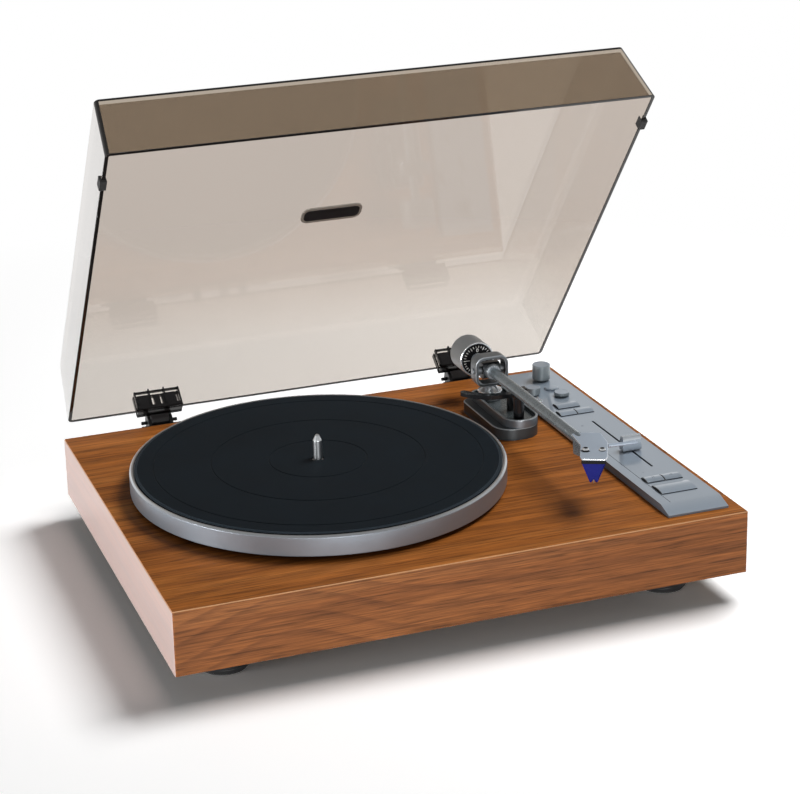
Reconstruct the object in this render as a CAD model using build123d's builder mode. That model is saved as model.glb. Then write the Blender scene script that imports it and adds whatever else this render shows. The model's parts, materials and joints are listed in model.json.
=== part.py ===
from build123d import *
import os
from math import cos, radians, sin

# Turntable with a hinged dust cover. Lengths are in millimetres.
# The origin is on the platter's axis, in the plane of the mat's top.
# X runs to the right along the front, Y to the back and Z up.

os.makedirs("parts", exist_ok=True)

# Fits
screw_gap = 0.02
running_gap = 0.04
slip_gap = 0.3
cover_gap = 0.5

# Plinth
plinth_width = 452.0
plinth_depth = 358.0
plinth_height = 50.0
deck_thickness = 15.0
cabinet_wall = 18.0
cabinet_corner = 1.5
cabinet_edge = 0.6
rebate_width = 9.0
base_cover_thickness = 5.0
spindle_from_left = 169.7
spindle_from_front = 183.5

# Feet
foot_height = 22.0
foot_radius = 24.0
foot_waist = 19.0
foot_pad_radius = 18.0
foot_pad_thickness = 3.0
foot_pad_recess = 1.5
foot_stud_radius = 3.0
foot_inset = 48.0

# Platter, mat and spindle
platter_radius = 150.0
platter_height = 16.5
platter_gap = 3.0
platter_wall = 8.0
platter_web = 4.0
rim_bevel = 1.2
mat_radius = 146.0
mat_thickness = 3.0
mat_proud = 0.8
mat_ring_gap = 1.0
mat_lip = 2.0
mat_lip_drop = 0.7
mat_groove = 1.2
mat_groove_depth = 0.6
mat_first_groove = 39.0
mat_groove_spacing = 46.0
drive_ring_radius = 85.0
drive_ring_wall = 5.0
drive_ring_clearance = 4.5
hub_radius = 16.0
hub_clearance = 10.0
spindle_radius = 3.6
spindle_height = 20.4
spindle_tip = 4.6
spindle_nose = 0.8
journal_radius = 4.5
bearing_wall = 4.5
bearing_flange_radius = 20.0
bearing_flange = 3.0
bearing_top = 8.0
bearing_depth = 27.0
bearing_floor = 3.0

# Motor and belt
motor_distance = 112.0
motor_bearing = 135.0
motor_radius = 17.0
motor_height = 20.0
motor_flange_length = 56.0
motor_flange_width = 24.0
motor_flange = 2.0
motor_screw_spacing = 46.0
motor_shaft_radius = 1.5
pulley_radius = 8.7
pulley_height = 8.5
pulley_lip = 1.0
pulley_lip_height = 1.2
pulley_hole_margin = 4.0
belt_thickness = 0.8
belt_height = 4.0
belt_gap = 0.3

# Screws, a small one for boards and motor and a larger one for wood
wood_screw_radius = 1.6
wood_screw_length = 14.0
wood_head_radius = 3.4
wood_head = 2.2
small_screw_radius = 1.2
small_screw_length = 7.0
small_head_radius = 2.3
small_head = 1.5

# Electronics
board_thickness = 1.6
main_board_width = 110.0
main_board_depth = 60.0
main_board_inset = 5.0
standoff_height = 6.0
standoff_radius = 3.5
chip_spacing_x = 27.0
chip_spacing_y = 20.0
chip_width = 12.0
chip_depth = 10.0

# Rear connector plate
rear_plate_width = 108.0
rear_plate_height = 34.0
rear_plate_thickness = 2.0
rear_plate_from_middle = 56.0
rear_plate_lap = 8.0
rear_screw_inset = 4.0
jack_spacing = 18.0
jack_radius = 4.15
jack_length = 8.0
jack_bore = 1.6
jack_flange_radius = 6.0
jack_flange = 1.5
jack_tail = 9.0
jack_from_right = 22.0
ground_post_radius = 4.5
ground_post_length = 9.0
ground_stud_radius = 2.0
ground_from_left = 42.0
inlet_width = 11.0
inlet_length = 12.0
inlet_bore = 2.8
inlet_pin = 1.0
inlet_lip = 1.5
inlet_from_left = 20.0

# Control panel
panel_width = 50.5
panel_from_right = 10.5
panel_from_back = 21.0
panel_from_front = 12.0
panel_height = 6.0
panel_wall = 1.7
panel_slope = 14.0
panel_score = 0.4
panel_score_from_left = 8.5
panel_score_length = 160.0
control_opening_left = 5.0
control_opening_right = 9.0
control_opening_front = 20.0
control_opening_back = 4.5
control_board_drop = 12.0
switch_height = 7.0
switch_gap = 0.4
boss_radius = 2.6

# Controls, each placed from the panel's back edge and right edge
tall_knob_radius = 7.8
tall_knob_height = 14.2
tall_knob_from_back = 22.5
tall_knob_from_right = 18.9
disc_radius = 6.1
disc_height = 2.0
disc_from_back = 47.1
disc_from_right = 20.3
short_knob_radius = 6.6
short_knob_height = 3.2
short_knob_base_radius = 7.0
short_knob_from_back = 66.3
short_knob_from_right = 19.2
anti_skate_radius = 6.3
anti_skate_height = 6.4
anti_skate_from_back = 54.0
anti_skate_from_left = 9.6
knob_lift = 0.8
knob_shaft_radius = 3.0
knob_shaft_depth = 4.0
knob_edge = 0.6
key_proud = 2.0
key_edge_height = 0.7
key_travel = 1.2
key_play = 0.2
key_flange = 1.2
key_flange_height = 1.4
key_stem_radius = 2.5
single_key_width = 20.0
single_key_depth = 12.6
single_key_from_back = 90.2
single_key_from_right = 26.0
pair_key_width = 14.9
pair_key_depth = 11.8
pair_key_from_back = 107.2
pair_gap = 0.7
pair_middle_from_right = 25.8
speed_key_depth = 11.2
speed_key_from_front = 59.2
start_key_width = 30.2
start_key_depth = 17.6
start_key_from_front = 38.4
pitch_slot_width = 1.8
pitch_slot_from_back = 132.2
pitch_slot_from_front = 83.4
pitch_slot_from_right = 21.6
pitch_knob_width = 16.5
pitch_knob_depth = 7.5
pitch_knob_height = 12.0
pitch_knob_face = 9.0
pitch_knob_from_slot_end = 38.6
pitch_knob_ridge = 3.0
pitch_stem_depth = 5.0
pitch_stem_width = 1.2
fader_width = 9.0
fader_margin = 6.0
fader_height = 10.5
fader_slot = 2.4
fader_slot_depth = 8.0

# Tonearm base
arm_pivot_distance = 204.8
arm_pivot_angle = 25.3
arm_pivot_height = 40.0
lower_tier_width = 40.0
lower_tier_height = 10.0
tier_front = 68.0
tier_back = 17.0
lower_front_round = 17.0
lower_back_round = 8.0
upper_tier_width = 31.0
upper_tier_height = 7.0
upper_tier_shift = 3.8
upper_front_round = 14.5
upper_back_round = 6.0
upper_tier_wall = 2.0
upper_floor = 3.6
pillar_radius = 9.5
pillar_height = 6.8
pillar_stem_radius = 8.0
pillar_stem_depth = 26.0
pillar_nut_radius = 13.0
pillar_nut_height = 3.0

# Gimbal and neck
neck_base_radius = 10.5
neck_top_radius = 5.0
neck_base = 1.2
neck_waist_radius = 6.6
neck_shaft_radius = 4.0
gimbal_width = 30.0
gimbal_height = 27.0
gimbal_depth = 12.0
gimbal_wall = 3.0
gimbal_corner = 8.0
gimbal_screw_radius = 2.0
gimbal_screw_head = 2.6
gimbal_sleeve_radius = 3.6
gimbal_sleeve = 4.0
gimbal_point_radius = 1.5
gimbal_point = 3.0
pivot_block_length = 12.0
pivot_block_height = 14.0
pivot_block_corner = 4.0
collar_radius = 6.8
collar_length = 3.0

# Tonearm
arm_turn = -0.8
arm_rise = 0.7
tube_radius = 4.5
tube_end_from_bend = 32.3
rear_shaft_radius = 3.6
rear_shaft_end = 56.0
weight_radius = 15.6
weight_front = 28.0
weight_length = 25.5
weight_recess = 3.0
weight_rim = 2.0
weight_edge = 0.8
dial_proud = 0.4

# Headshell, cartridge and finger lift
headshell_bend = 210.3
headshell_offset = 25.7
headshell_width = 21.0
headshell_front = 16.3
headshell_back = 31.0
headshell_plate = 1.6
headshell_chamfer = 4.5
headshell_chamfer_side = 1.6
socket_length = 14.0
skirt_start = 4.5
skirt_length = 18.0
skirt_depth = 11.0
skirt_slant = 0.8
skirt_thickness = 1.5
cartridge_screw_spacing = 12.7
cartridge_screw_from_bend = 0.0
cartridge_screw_radius = 1.25
cartridge_head_radius = 2.4
cartridge_head = 1.7
cartridge_nut_radius = 2.2
cartridge_nut = 2.0
cartridge_width = 17.0
cartridge_length = 26.0
cartridge_height = 11.0
cartridge_flange = 4.0
stylus_width = 18.2
stylus_tip_width = 5.6
stylus_drop = 18.4
stylus_length = 12.0
stylus_notch = 3.0
needle_drop = 22.0
needle_radius = 0.35
needle_from_front = 3.6
finger_lift_radius = 1.1
finger_lift_reach = 24.0
finger_lift_from_bend = -14.0
finger_lift_sweep = 19.0

# Cue lift and arm rest
lift_outer_radius = 37.5
lift_inner_radius = 31.0
lift_thickness = 3.5
lift_underside = 26.0
lift_start = -16.0
lift_end = 62.0
lift_rod_radius = 3.0
lift_rod_angle = 8.0
lift_rod_turn = 33.5
lift_bush_radius = 5.0
lift_bush_height = 6.0
rest_distance = 55.0
rest_radius = 4.5
rest_side = 3.5
rest_cradle_length = 7.0
rest_cradle_height = 3.0
rest_cradle_left = 1.5
rest_gap = 0.5
rest_lip_height = 5.0
rest_lip_thickness = 5.0
clip_thickness = 1.4
clip_width = 3.0
clip_gap = 0.5
clip_start = -18.0
clip_sweep = 150.0
clip_open = 175.0
clip_ball_radius = 1.7
clip_ball_angle = 122.0
clip_ball_reach = 3.0
clip_stub_radius = 0.8
clip_pin_radius = 0.9
clip_hub_radius = 1.8
clip_hub_above_tube = -2.6

# Dust cover
cover_from_side = 6.0
cover_from_depth = 1.0
cover_height = 57.0
cover_thickness = 3.0
cover_rim_height = 2.5
cover_draft_side = 4.6
cover_draft_front = 5.5
cover_corner = 4.0
cover_open = 52.5
badge_width = 53.0
badge_depth = 19.0
badge_thickness = 1.2
badge_corner = 7.0
badge_from_back = 181.0
stop_length = 10.0
stop_height = 4.5
stop_outer_wall = 1.6
stop_inner_wall = 0.8
stop_from_front = 29.5

# Dust cover hinges
hinge_from_side = 86.5
hinge_axis_back = 12.3
hinge_axis_drop = 1.4
socket_width = 40.0
socket_height = 17.0
socket_floor = 1.9
socket_jaw = 5.0
socket_front_jaw = 4.0
socket_slot_width = 8.0
socket_slot_height = 11.0
socket_slot_spacing = 14.0
neck_width = 16.0
barrel_radius = 5.5
hinge_pin_radius = 1.5
hinge_pin_overhang = 5.0
bracket_width = 35.0
bracket_height = 36.0
bracket_thickness = 4.0
bracket_top_drop = 1.0
ear_thickness = 2.5
ear_radius = 6.5
bracket_screw_drop = 18.0
bracket_screw_spacing = 20.0


def placed(place, plane):
    """A plane given in a turned piece's own axes, as it lies in the model."""
    return Plane(place * plane.location)


# Levels and edges that follow from the sizes above
cover_width = plinth_width - 2 * cover_from_side
cover_depth = plinth_depth - cover_from_depth
hinge_spacing = plinth_width - 2 * hinge_from_side
tube_end = headshell_bend - tube_end_from_bend
mat_seat = -mat_thickness
platter_top = -mat_proud
platter_bottom = platter_top - platter_height
plinth_top = platter_bottom - platter_gap
plinth_bottom = plinth_top - plinth_height
deck_underside = plinth_top - deck_thickness
floor_level = plinth_bottom - foot_height
plinth_left = -spindle_from_left
plinth_right = plinth_left + plinth_width
plinth_front = -spindle_from_front
plinth_back = plinth_front + plinth_depth
plinth_x = (plinth_left + plinth_right) / 2
plinth_y = (plinth_front + plinth_back) / 2
panel_right = plinth_right - panel_from_right
panel_left = panel_right - panel_width
panel_back = plinth_back - panel_from_back
panel_front = plinth_front + panel_from_front
panel_top = plinth_top + panel_height
panel_underside = panel_top - panel_wall
pivot_x = arm_pivot_distance * cos(radians(arm_pivot_angle))
pivot_y = arm_pivot_distance * sin(radians(arm_pivot_angle))
pivot_z = plinth_top + arm_pivot_height
motor_x = motor_distance * cos(radians(motor_bearing))
motor_y = motor_distance * sin(radians(motor_bearing))


# Cabinet, base cover and feet

foot_spots = (plinth_width - 2 * foot_inset, plinth_depth - 2 * foot_inset)
cover_screw_inset = cabinet_wall - rebate_width / 2
cover_screw_spots = (plinth_width - 2 * cover_screw_inset, plinth_depth - 2 * cover_screw_inset)
rear_plate_x = plinth_x - rear_plate_from_middle
rear_plate_z = (deck_underside + plinth_bottom + base_cover_thickness) / 2
main_board_y = plinth_back - cabinet_wall - main_board_inset - main_board_depth / 2
board_screw_spots = (main_board_width - 2 * main_board_inset, main_board_depth - 2 * main_board_inset)
rear_screw_spots = (rear_plate_width - 2 * rear_screw_inset, rear_plate_height - 2 * rear_screw_inset)
opening_left = panel_left + control_opening_left
opening_right = panel_right - control_opening_right
opening_front = panel_front + control_opening_front
opening_back = panel_back - control_opening_back
hinge_y = plinth_back + hinge_axis_back
hinge_z = plinth_top - hinge_axis_drop
bracket_screw_z = plinth_top - bracket_screw_drop
bearing_tube_radius = journal_radius + running_gap + bearing_wall
lift_rod_x = pivot_x - lift_rod_turn * sin(radians(-lift_rod_angle))
lift_rod_y = pivot_y - lift_rod_turn * cos(radians(-lift_rod_angle))

with BuildPart() as cabinet:
    with BuildSketch(Plane.XY.offset(plinth_bottom)) as cabinet_outline:
        with Locations((plinth_x, plinth_y)):
            RectangleRounded(plinth_width, plinth_depth, cabinet_corner)
    extrude(amount=plinth_height)
    chamfer(cabinet.faces().sort_by(Axis.Z)[-1].edges(), cabinet_edge)
    with BuildSketch(Plane.XY.offset(plinth_bottom)) as cabinet_room:
        with Locations((plinth_x, plinth_y)):
            Rectangle(plinth_width - 2 * cabinet_wall, plinth_depth - 2 * cabinet_wall)
    extrude(amount=plinth_height - deck_thickness, mode=Mode.SUBTRACT)
    with BuildSketch(Plane.XY.offset(plinth_bottom)) as cabinet_rebate:
        with Locations((plinth_x, plinth_y)):
            Rectangle(
                plinth_width - 2 * (cabinet_wall - rebate_width),
                plinth_depth - 2 * (cabinet_wall - rebate_width),
            )
    extrude(amount=base_cover_thickness, mode=Mode.SUBTRACT)
    with BuildSketch(Plane.XY.offset(plinth_top)) as deck_holes:
        Circle(bearing_tube_radius + slip_gap)
        with Locations((motor_x, motor_y)):
            Circle(pulley_radius + pulley_hole_margin)
        with Locations((pivot_x, pivot_y)):
            Circle(pillar_stem_radius + slip_gap)
        with Locations((lift_rod_x, lift_rod_y)):
            Circle(lift_rod_radius + slip_gap)
        with Locations(((opening_left + opening_right) / 2, (opening_front + opening_back) / 2)):
            Rectangle(opening_right - opening_left, opening_back - opening_front)
    extrude(amount=-deck_thickness, mode=Mode.SUBTRACT)
    with BuildSketch(Plane.XY.offset(plinth_bottom + base_cover_thickness)) as cover_screw_holes:
        with Locations((plinth_x, plinth_y)):
            with GridLocations(cover_screw_spots[0] / 2, cover_screw_spots[1], 3, 2):
                Circle(wood_screw_radius + screw_gap)
    extrude(amount=wood_screw_length, mode=Mode.SUBTRACT)
    with BuildSketch(Plane.XY.offset(deck_underside)) as motor_screw_holes:
        with Locations((motor_x, motor_y)):
            with GridLocations(motor_screw_spacing, 0, 2, 1):
                Circle(small_screw_radius + screw_gap)
    extrude(amount=small_screw_length, mode=Mode.SUBTRACT)
    with BuildSketch(Plane.XZ.offset(-plinth_back)) as connector_window:
        with Locations((rear_plate_x, rear_plate_z)):
            Rectangle(rear_plate_width - rear_plate_lap * 2, rear_plate_height - rear_plate_lap * 2)
    extrude(amount=cabinet_wall, mode=Mode.SUBTRACT)
    with BuildSketch(Plane.XZ.offset(-plinth_back)) as rear_screw_holes:
        with Locations((rear_plate_x, rear_plate_z)):
            with GridLocations(rear_screw_spots[0], rear_screw_spots[1], 2, 2):
                Circle(small_screw_radius + screw_gap)
        with Locations((plinth_x, bracket_screw_z)):
            with GridLocations(hinge_spacing, 0, 2, 1):
                with GridLocations(bracket_screw_spacing, 0, 2, 1):
                    Circle(wood_screw_radius + screw_gap)
    extrude(amount=wood_screw_length, mode=Mode.SUBTRACT)
cabinet.part.label = "cabinet"
export_step(cabinet.part, "parts/cabinet.step")

with BuildPart() as base_cover:
    with BuildSketch(Plane.XY.offset(plinth_bottom)) as cover_outline:
        with Locations((plinth_x, plinth_y)):
            Rectangle(
                plinth_width - 2 * (cabinet_wall - rebate_width + slip_gap),
                plinth_depth - 2 * (cabinet_wall - rebate_width + slip_gap),
            )
    extrude(amount=base_cover_thickness)
    with BuildSketch(Plane.XY.offset(plinth_bottom + base_cover_thickness)) as standoffs:
        with Locations((rear_plate_x, main_board_y)):
            with GridLocations(board_screw_spots[0], board_screw_spots[1], 2, 2):
                Circle(standoff_radius)
    extrude(amount=standoff_height)
    with BuildSketch(Plane.XY.offset(plinth_bottom)) as cover_holes:
        with Locations((plinth_x, plinth_y)):
            with GridLocations(foot_spots[0], foot_spots[1], 2, 2):
                Circle(foot_stud_radius + screw_gap)
            with GridLocations(cover_screw_spots[0] / 2, cover_screw_spots[1], 3, 2):
                Circle(wood_screw_radius + screw_gap)
    extrude(amount=base_cover_thickness, mode=Mode.SUBTRACT)
    with BuildSketch(Plane.XY.offset(plinth_bottom)) as cover_counterbores:
        with Locations((plinth_x, plinth_y)):
            with GridLocations(cover_screw_spots[0] / 2, cover_screw_spots[1], 3, 2):
                Circle(wood_head_radius + slip_gap)
    extrude(amount=wood_head, mode=Mode.SUBTRACT)
    with BuildSketch(Plane.XY.offset(plinth_bottom + base_cover_thickness + standoff_height)) as board_pilots:
        with Locations((rear_plate_x, main_board_y)):
            with GridLocations(board_screw_spots[0], board_screw_spots[1], 2, 2):
                Circle(small_screw_radius + screw_gap)
    extrude(amount=-small_screw_length, mode=Mode.SUBTRACT)
base_cover.part.label = "base_cover"
export_step(base_cover.part, "parts/base_cover.step")

foot_base = floor_level + foot_pad_thickness - foot_pad_recess
with BuildPart() as feet:
    with Locations((plinth_x, plinth_y, 0)):
        with GridLocations(foot_spots[0], foot_spots[1], 2, 2):
            with Locations((0, 0, foot_base)):
                Cone(foot_waist, foot_radius, plinth_bottom - foot_base,
                     align=(Align.CENTER, Align.CENTER, Align.MIN))
            with Locations((0, 0, foot_base)):
                Cylinder(foot_pad_radius + slip_gap, foot_pad_recess,
                         align=(Align.CENTER, Align.CENTER, Align.MIN), mode=Mode.SUBTRACT)
            with Locations((0, 0, plinth_bottom)):
                Cylinder(foot_stud_radius, base_cover_thickness,
                         align=(Align.CENTER, Align.CENTER, Align.MIN))
feet.part.label = "feet"
export_step(feet.part, "parts/feet.step")

with BuildPart() as foot_pads:
    with BuildSketch(Plane.XY.offset(floor_level)) as pad_outlines:
        with Locations((plinth_x, plinth_y)):
            with GridLocations(foot_spots[0], foot_spots[1], 2, 2):
                Circle(foot_pad_radius)
    extrude(amount=foot_pad_thickness)
foot_pads.part.label = "foot_pads"
export_step(foot_pads.part, "parts/foot_pads.step")


# Platter, mat, spindle and bearing

web_underside = mat_seat - platter_web
ring_bottom = plinth_top + drive_ring_clearance
hub_bottom = plinth_top + hub_clearance
recess_radius = mat_radius + mat_ring_gap

with BuildPart() as platter:
    with BuildSketch(Plane.XZ) as platter_section:
        with BuildLine() as platter_outline:
            Polyline(
                (journal_radius + screw_gap, mat_seat),
                (recess_radius, mat_seat),
                (recess_radius, platter_top),
                (platter_radius - rim_bevel, platter_top),
                (platter_radius, platter_top - rim_bevel),
                (platter_radius, platter_bottom),
                (platter_radius - platter_wall, platter_bottom),
                (platter_radius - platter_wall, web_underside),
                (drive_ring_radius, web_underside),
                (drive_ring_radius, ring_bottom),
                (drive_ring_radius - drive_ring_wall, ring_bottom),
                (drive_ring_radius - drive_ring_wall, web_underside),
                (hub_radius, web_underside),
                (hub_radius, hub_bottom),
                (journal_radius + screw_gap, hub_bottom),
                close=True,
            )
        make_face()
    revolve(axis=Axis.Z)
platter.part.label = "platter"
export_step(platter.part, "parts/platter.step")

with BuildPart() as mat:
    with BuildSketch(Plane.XY.offset(mat_seat)) as mat_outline:
        Circle(mat_radius)
        Circle(journal_radius + slip_gap, mode=Mode.SUBTRACT)
    extrude(amount=mat_thickness)
    with BuildSketch() as lip_step:
        Circle(mat_radius)
        Circle(mat_radius - mat_lip, mode=Mode.SUBTRACT)
    extrude(amount=-mat_lip_drop, mode=Mode.SUBTRACT)
    with BuildSketch() as mat_rings:
        for ring in (2, 1, 0):
            Circle(mat_first_groove + mat_groove_spacing * ring + mat_groove / 2)
            Circle(mat_first_groove + mat_groove_spacing * ring - mat_groove / 2, mode=Mode.SUBTRACT)
    extrude(amount=-mat_groove_depth, mode=Mode.SUBTRACT)
mat.part.label = "mat"
export_step(mat.part, "parts/mat.step")

bearing_bottom = plinth_top - bearing_depth
shaft_bottom = bearing_bottom + bearing_floor + running_gap

with BuildPart() as spindle:
    with BuildSketch(Plane.XZ) as spindle_section:
        with BuildLine() as spindle_outline:
            Polyline(
                (0, shaft_bottom),
                (journal_radius, shaft_bottom),
                (journal_radius, platter_top),
                (spindle_radius, platter_top),
                (spindle_radius, spindle_height - spindle_tip),
                (spindle_nose, spindle_height),
                (0, spindle_height),
                close=True,
            )
        make_face()
    revolve(axis=Axis.Z)
spindle.part.label = "spindle"
export_step(spindle.part, "parts/spindle.step")

with BuildPart() as bearing_housing:
    with BuildSketch(Plane.XZ) as housing_section:
        with BuildLine() as housing_outline:
            Polyline(
                (0, bearing_bottom),
                (bearing_tube_radius, bearing_bottom),
                (bearing_tube_radius, plinth_top),
                (bearing_flange_radius, plinth_top),
                (bearing_flange_radius, plinth_top + bearing_flange),
                (bearing_tube_radius, plinth_top + bearing_flange),
                (bearing_tube_radius, plinth_top + bearing_top),
                (journal_radius + running_gap, plinth_top + bearing_top),
                (journal_radius + running_gap, bearing_bottom + bearing_floor),
                (0, bearing_bottom + bearing_floor),
                close=True,
            )
        make_face()
    revolve(axis=Axis.Z)
bearing_housing.part.label = "bearing_housing"
export_step(bearing_housing.part, "parts/bearing_housing.step")


# Motor, pulley and belt

belt_bottom = ring_bottom + belt_gap
pulley_bottom = belt_bottom - pulley_lip_height - belt_gap
pulley_top = pulley_bottom + pulley_height

with BuildPart() as motor:
    with BuildSketch(Plane.XY.offset(deck_underside)) as motor_plate:
        with Locations((motor_x, motor_y)):
            SlotOverall(motor_flange_length, motor_flange_width)
    extrude(amount=-motor_flange)
    with BuildSketch(Plane.XY.offset(deck_underside)) as motor_can:
        with Locations((motor_x, motor_y)):
            Circle(motor_radius)
    extrude(amount=-motor_height)
    with BuildSketch(Plane.XY.offset(deck_underside)) as motor_bore:
        with Locations((motor_x, motor_y)):
            Circle(motor_shaft_radius + running_gap)
    extrude(amount=-(motor_height - motor_flange), mode=Mode.SUBTRACT)
    with BuildSketch(Plane.XY.offset(deck_underside)) as motor_holes:
        with Locations((motor_x, motor_y)):
            with GridLocations(motor_screw_spacing, 0, 2, 1):
                Circle(small_screw_radius + screw_gap)
    extrude(amount=-motor_flange, mode=Mode.SUBTRACT)
motor.part.label = "motor"
export_step(motor.part, "parts/motor.step")

with BuildPart() as motor_shaft:
    with BuildSketch(Plane.XY.offset(deck_underside - motor_height + 2 * motor_flange)) as shaft_outline:
        with Locations((motor_x, motor_y)):
            Circle(motor_shaft_radius)
    extrude(amount=pulley_top - deck_underside + motor_height - 2 * motor_flange)
motor_shaft.part.label = "motor_shaft"
export_step(motor_shaft.part, "parts/motor_shaft.step")

with BuildPart() as motor_pulley:
    with BuildSketch(Plane.XY.offset(pulley_bottom)) as pulley_outline:
        with Locations((motor_x, motor_y)):
            Circle(pulley_radius)
    extrude(amount=pulley_height)
    for lip_level in (pulley_bottom, pulley_top - pulley_lip_height):
        with BuildSketch(Plane.XY.offset(lip_level)) as pulley_lip_outline:
            with Locations((motor_x, motor_y)):
                Circle(pulley_radius + pulley_lip)
        extrude(amount=pulley_lip_height)
    with BuildSketch(Plane.XY.offset(pulley_bottom)) as pulley_bore:
        with Locations((motor_x, motor_y)):
            Circle(motor_shaft_radius + screw_gap)
    extrude(amount=pulley_height, mode=Mode.SUBTRACT)
motor_pulley.part.label = "motor_pulley"
export_step(motor_pulley.part, "parts/motor_pulley.step")

with BuildPart() as drive_belt:
    with BuildSketch(Plane.XY.offset(belt_bottom)) as belt_outside:
        Circle(drive_ring_radius + belt_gap + belt_thickness)
        with Locations((motor_x, motor_y)):
            Circle(pulley_radius + belt_gap + belt_thickness)
        make_hull()
    extrude(amount=belt_height)
    with BuildSketch(Plane.XY.offset(belt_bottom)) as belt_inside:
        Circle(drive_ring_radius + belt_gap)
        with Locations((motor_x, motor_y)):
            Circle(pulley_radius + belt_gap)
        make_hull()
    extrude(amount=belt_height, mode=Mode.SUBTRACT)
drive_belt.part.label = "drive_belt"
export_step(drive_belt.part, "parts/drive_belt.step")


# Main board and rear connectors

main_board_z = plinth_bottom + base_cover_thickness + standoff_height

with BuildPart() as main_board:
    with BuildSketch(Plane.XY.offset(main_board_z)) as main_board_outline:
        with Locations((rear_plate_x, main_board_y)):
            Rectangle(main_board_width, main_board_depth)
            with GridLocations(board_screw_spots[0], board_screw_spots[1], 2, 2):
                Circle(small_screw_radius + screw_gap, mode=Mode.SUBTRACT)
    extrude(amount=board_thickness)
    with BuildSketch(Plane.XY.offset(main_board_z + board_thickness)) as main_board_chips:
        with Locations((rear_plate_x, main_board_y)):
            with GridLocations(chip_spacing_x, chip_spacing_y, 3, 2):
                Rectangle(chip_width, chip_depth)
    extrude(amount=small_head)
main_board.part.label = "main_board"
export_step(main_board.part, "parts/main_board.step")

rear_face = Plane(origin=(rear_plate_x, plinth_back, rear_plate_z), x_dir=(-1, 0, 0), z_dir=(0, 1, 0))
jack_x = -rear_plate_width / 2 + jack_from_right + jack_spacing / 2
ground_x = rear_plate_width / 2 - ground_from_left
inlet_x = rear_plate_width / 2 - inlet_from_left

with BuildPart(rear_face) as rear_plate:
    with BuildSketch(rear_face) as rear_plate_outline:
        RectangleRounded(rear_plate_width, rear_plate_height, cabinet_corner)
        with GridLocations(rear_screw_spots[0], rear_screw_spots[1], 2, 2):
            Circle(small_screw_radius + screw_gap, mode=Mode.SUBTRACT)
        with Locations((jack_x, 0)):
            with GridLocations(jack_spacing, 0, 2, 1):
                Circle(jack_radius + screw_gap, mode=Mode.SUBTRACT)
        with Locations((ground_x, 0)):
            Circle(ground_stud_radius + screw_gap, mode=Mode.SUBTRACT)
        with Locations((inlet_x, 0)):
            Rectangle(inlet_width + 2 * screw_gap, inlet_width + 2 * screw_gap, mode=Mode.SUBTRACT)
    extrude(amount=rear_plate_thickness)
rear_plate.part.label = "rear_plate"
export_step(rear_plate.part, "parts/rear_plate.step")

with BuildPart() as signal_jacks:
    with BuildSketch(rear_face.offset(rear_plate_thickness)) as jack_shells:
        with Locations((jack_x, 0)):
            with GridLocations(jack_spacing, 0, 2, 1):
                Circle(jack_radius)
    extrude(amount=jack_length)
    with BuildSketch(rear_face.offset(rear_plate_thickness)) as jack_flanges:
        with Locations((jack_x, 0)):
            with GridLocations(jack_spacing, 0, 2, 1):
                Circle(jack_flange_radius)
    extrude(amount=jack_flange)
    with BuildSketch(rear_face.offset(rear_plate_thickness)) as jack_tails:
        with Locations((jack_x, 0)):
            with GridLocations(jack_spacing, 0, 2, 1):
                Circle(jack_radius)
    extrude(amount=-(rear_plate_thickness + jack_tail))
    with BuildSketch(rear_face.offset(rear_plate_thickness + jack_length)) as jack_sockets:
        with Locations((jack_x, 0)):
            with GridLocations(jack_spacing, 0, 2, 1):
                Circle(jack_bore)
    extrude(amount=-jack_length, mode=Mode.SUBTRACT)
signal_jacks.part.label = "signal_jacks"
export_step(signal_jacks.part, "parts/signal_jacks.step")

with BuildPart() as ground_post:
    with BuildSketch(rear_face.offset(-jack_tail)) as ground_stud:
        with Locations((ground_x, 0)):
            Circle(ground_stud_radius)
    extrude(amount=jack_tail + rear_plate_thickness + ground_post_length)
    with BuildSketch(rear_face.offset(rear_plate_thickness)) as ground_nut:
        with Locations((ground_x, 0)):
            RegularPolygon(ground_post_radius, 12)
    extrude(amount=ground_post_length - 2 * ground_stud_radius)
ground_post.part.label = "ground_post"
export_step(ground_post.part, "parts/ground_post.step")

with BuildPart() as power_inlet:
    with BuildSketch(rear_face.offset(-inlet_length)) as inlet_block:
        with Locations((inlet_x, 0)):
            Rectangle(inlet_width, inlet_width)
    extrude(amount=inlet_length + rear_plate_thickness)
    with BuildSketch(rear_face.offset(rear_plate_thickness)) as inlet_rim:
        with Locations((inlet_x, 0)):
            Rectangle(inlet_width + 2 * inlet_lip, inlet_width + 2 * inlet_lip)
    extrude(amount=inlet_lip)
    with BuildSketch(rear_face.offset(rear_plate_thickness + inlet_lip)) as inlet_hole:
        with Locations((inlet_x, 0)):
            Circle(inlet_bore)
            Circle(inlet_pin, mode=Mode.SUBTRACT)
    extrude(amount=-inlet_length, mode=Mode.SUBTRACT)
power_inlet.part.label = "power_inlet"
export_step(power_inlet.part, "parts/power_inlet.step")


# Control panel and what is under it

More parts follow.
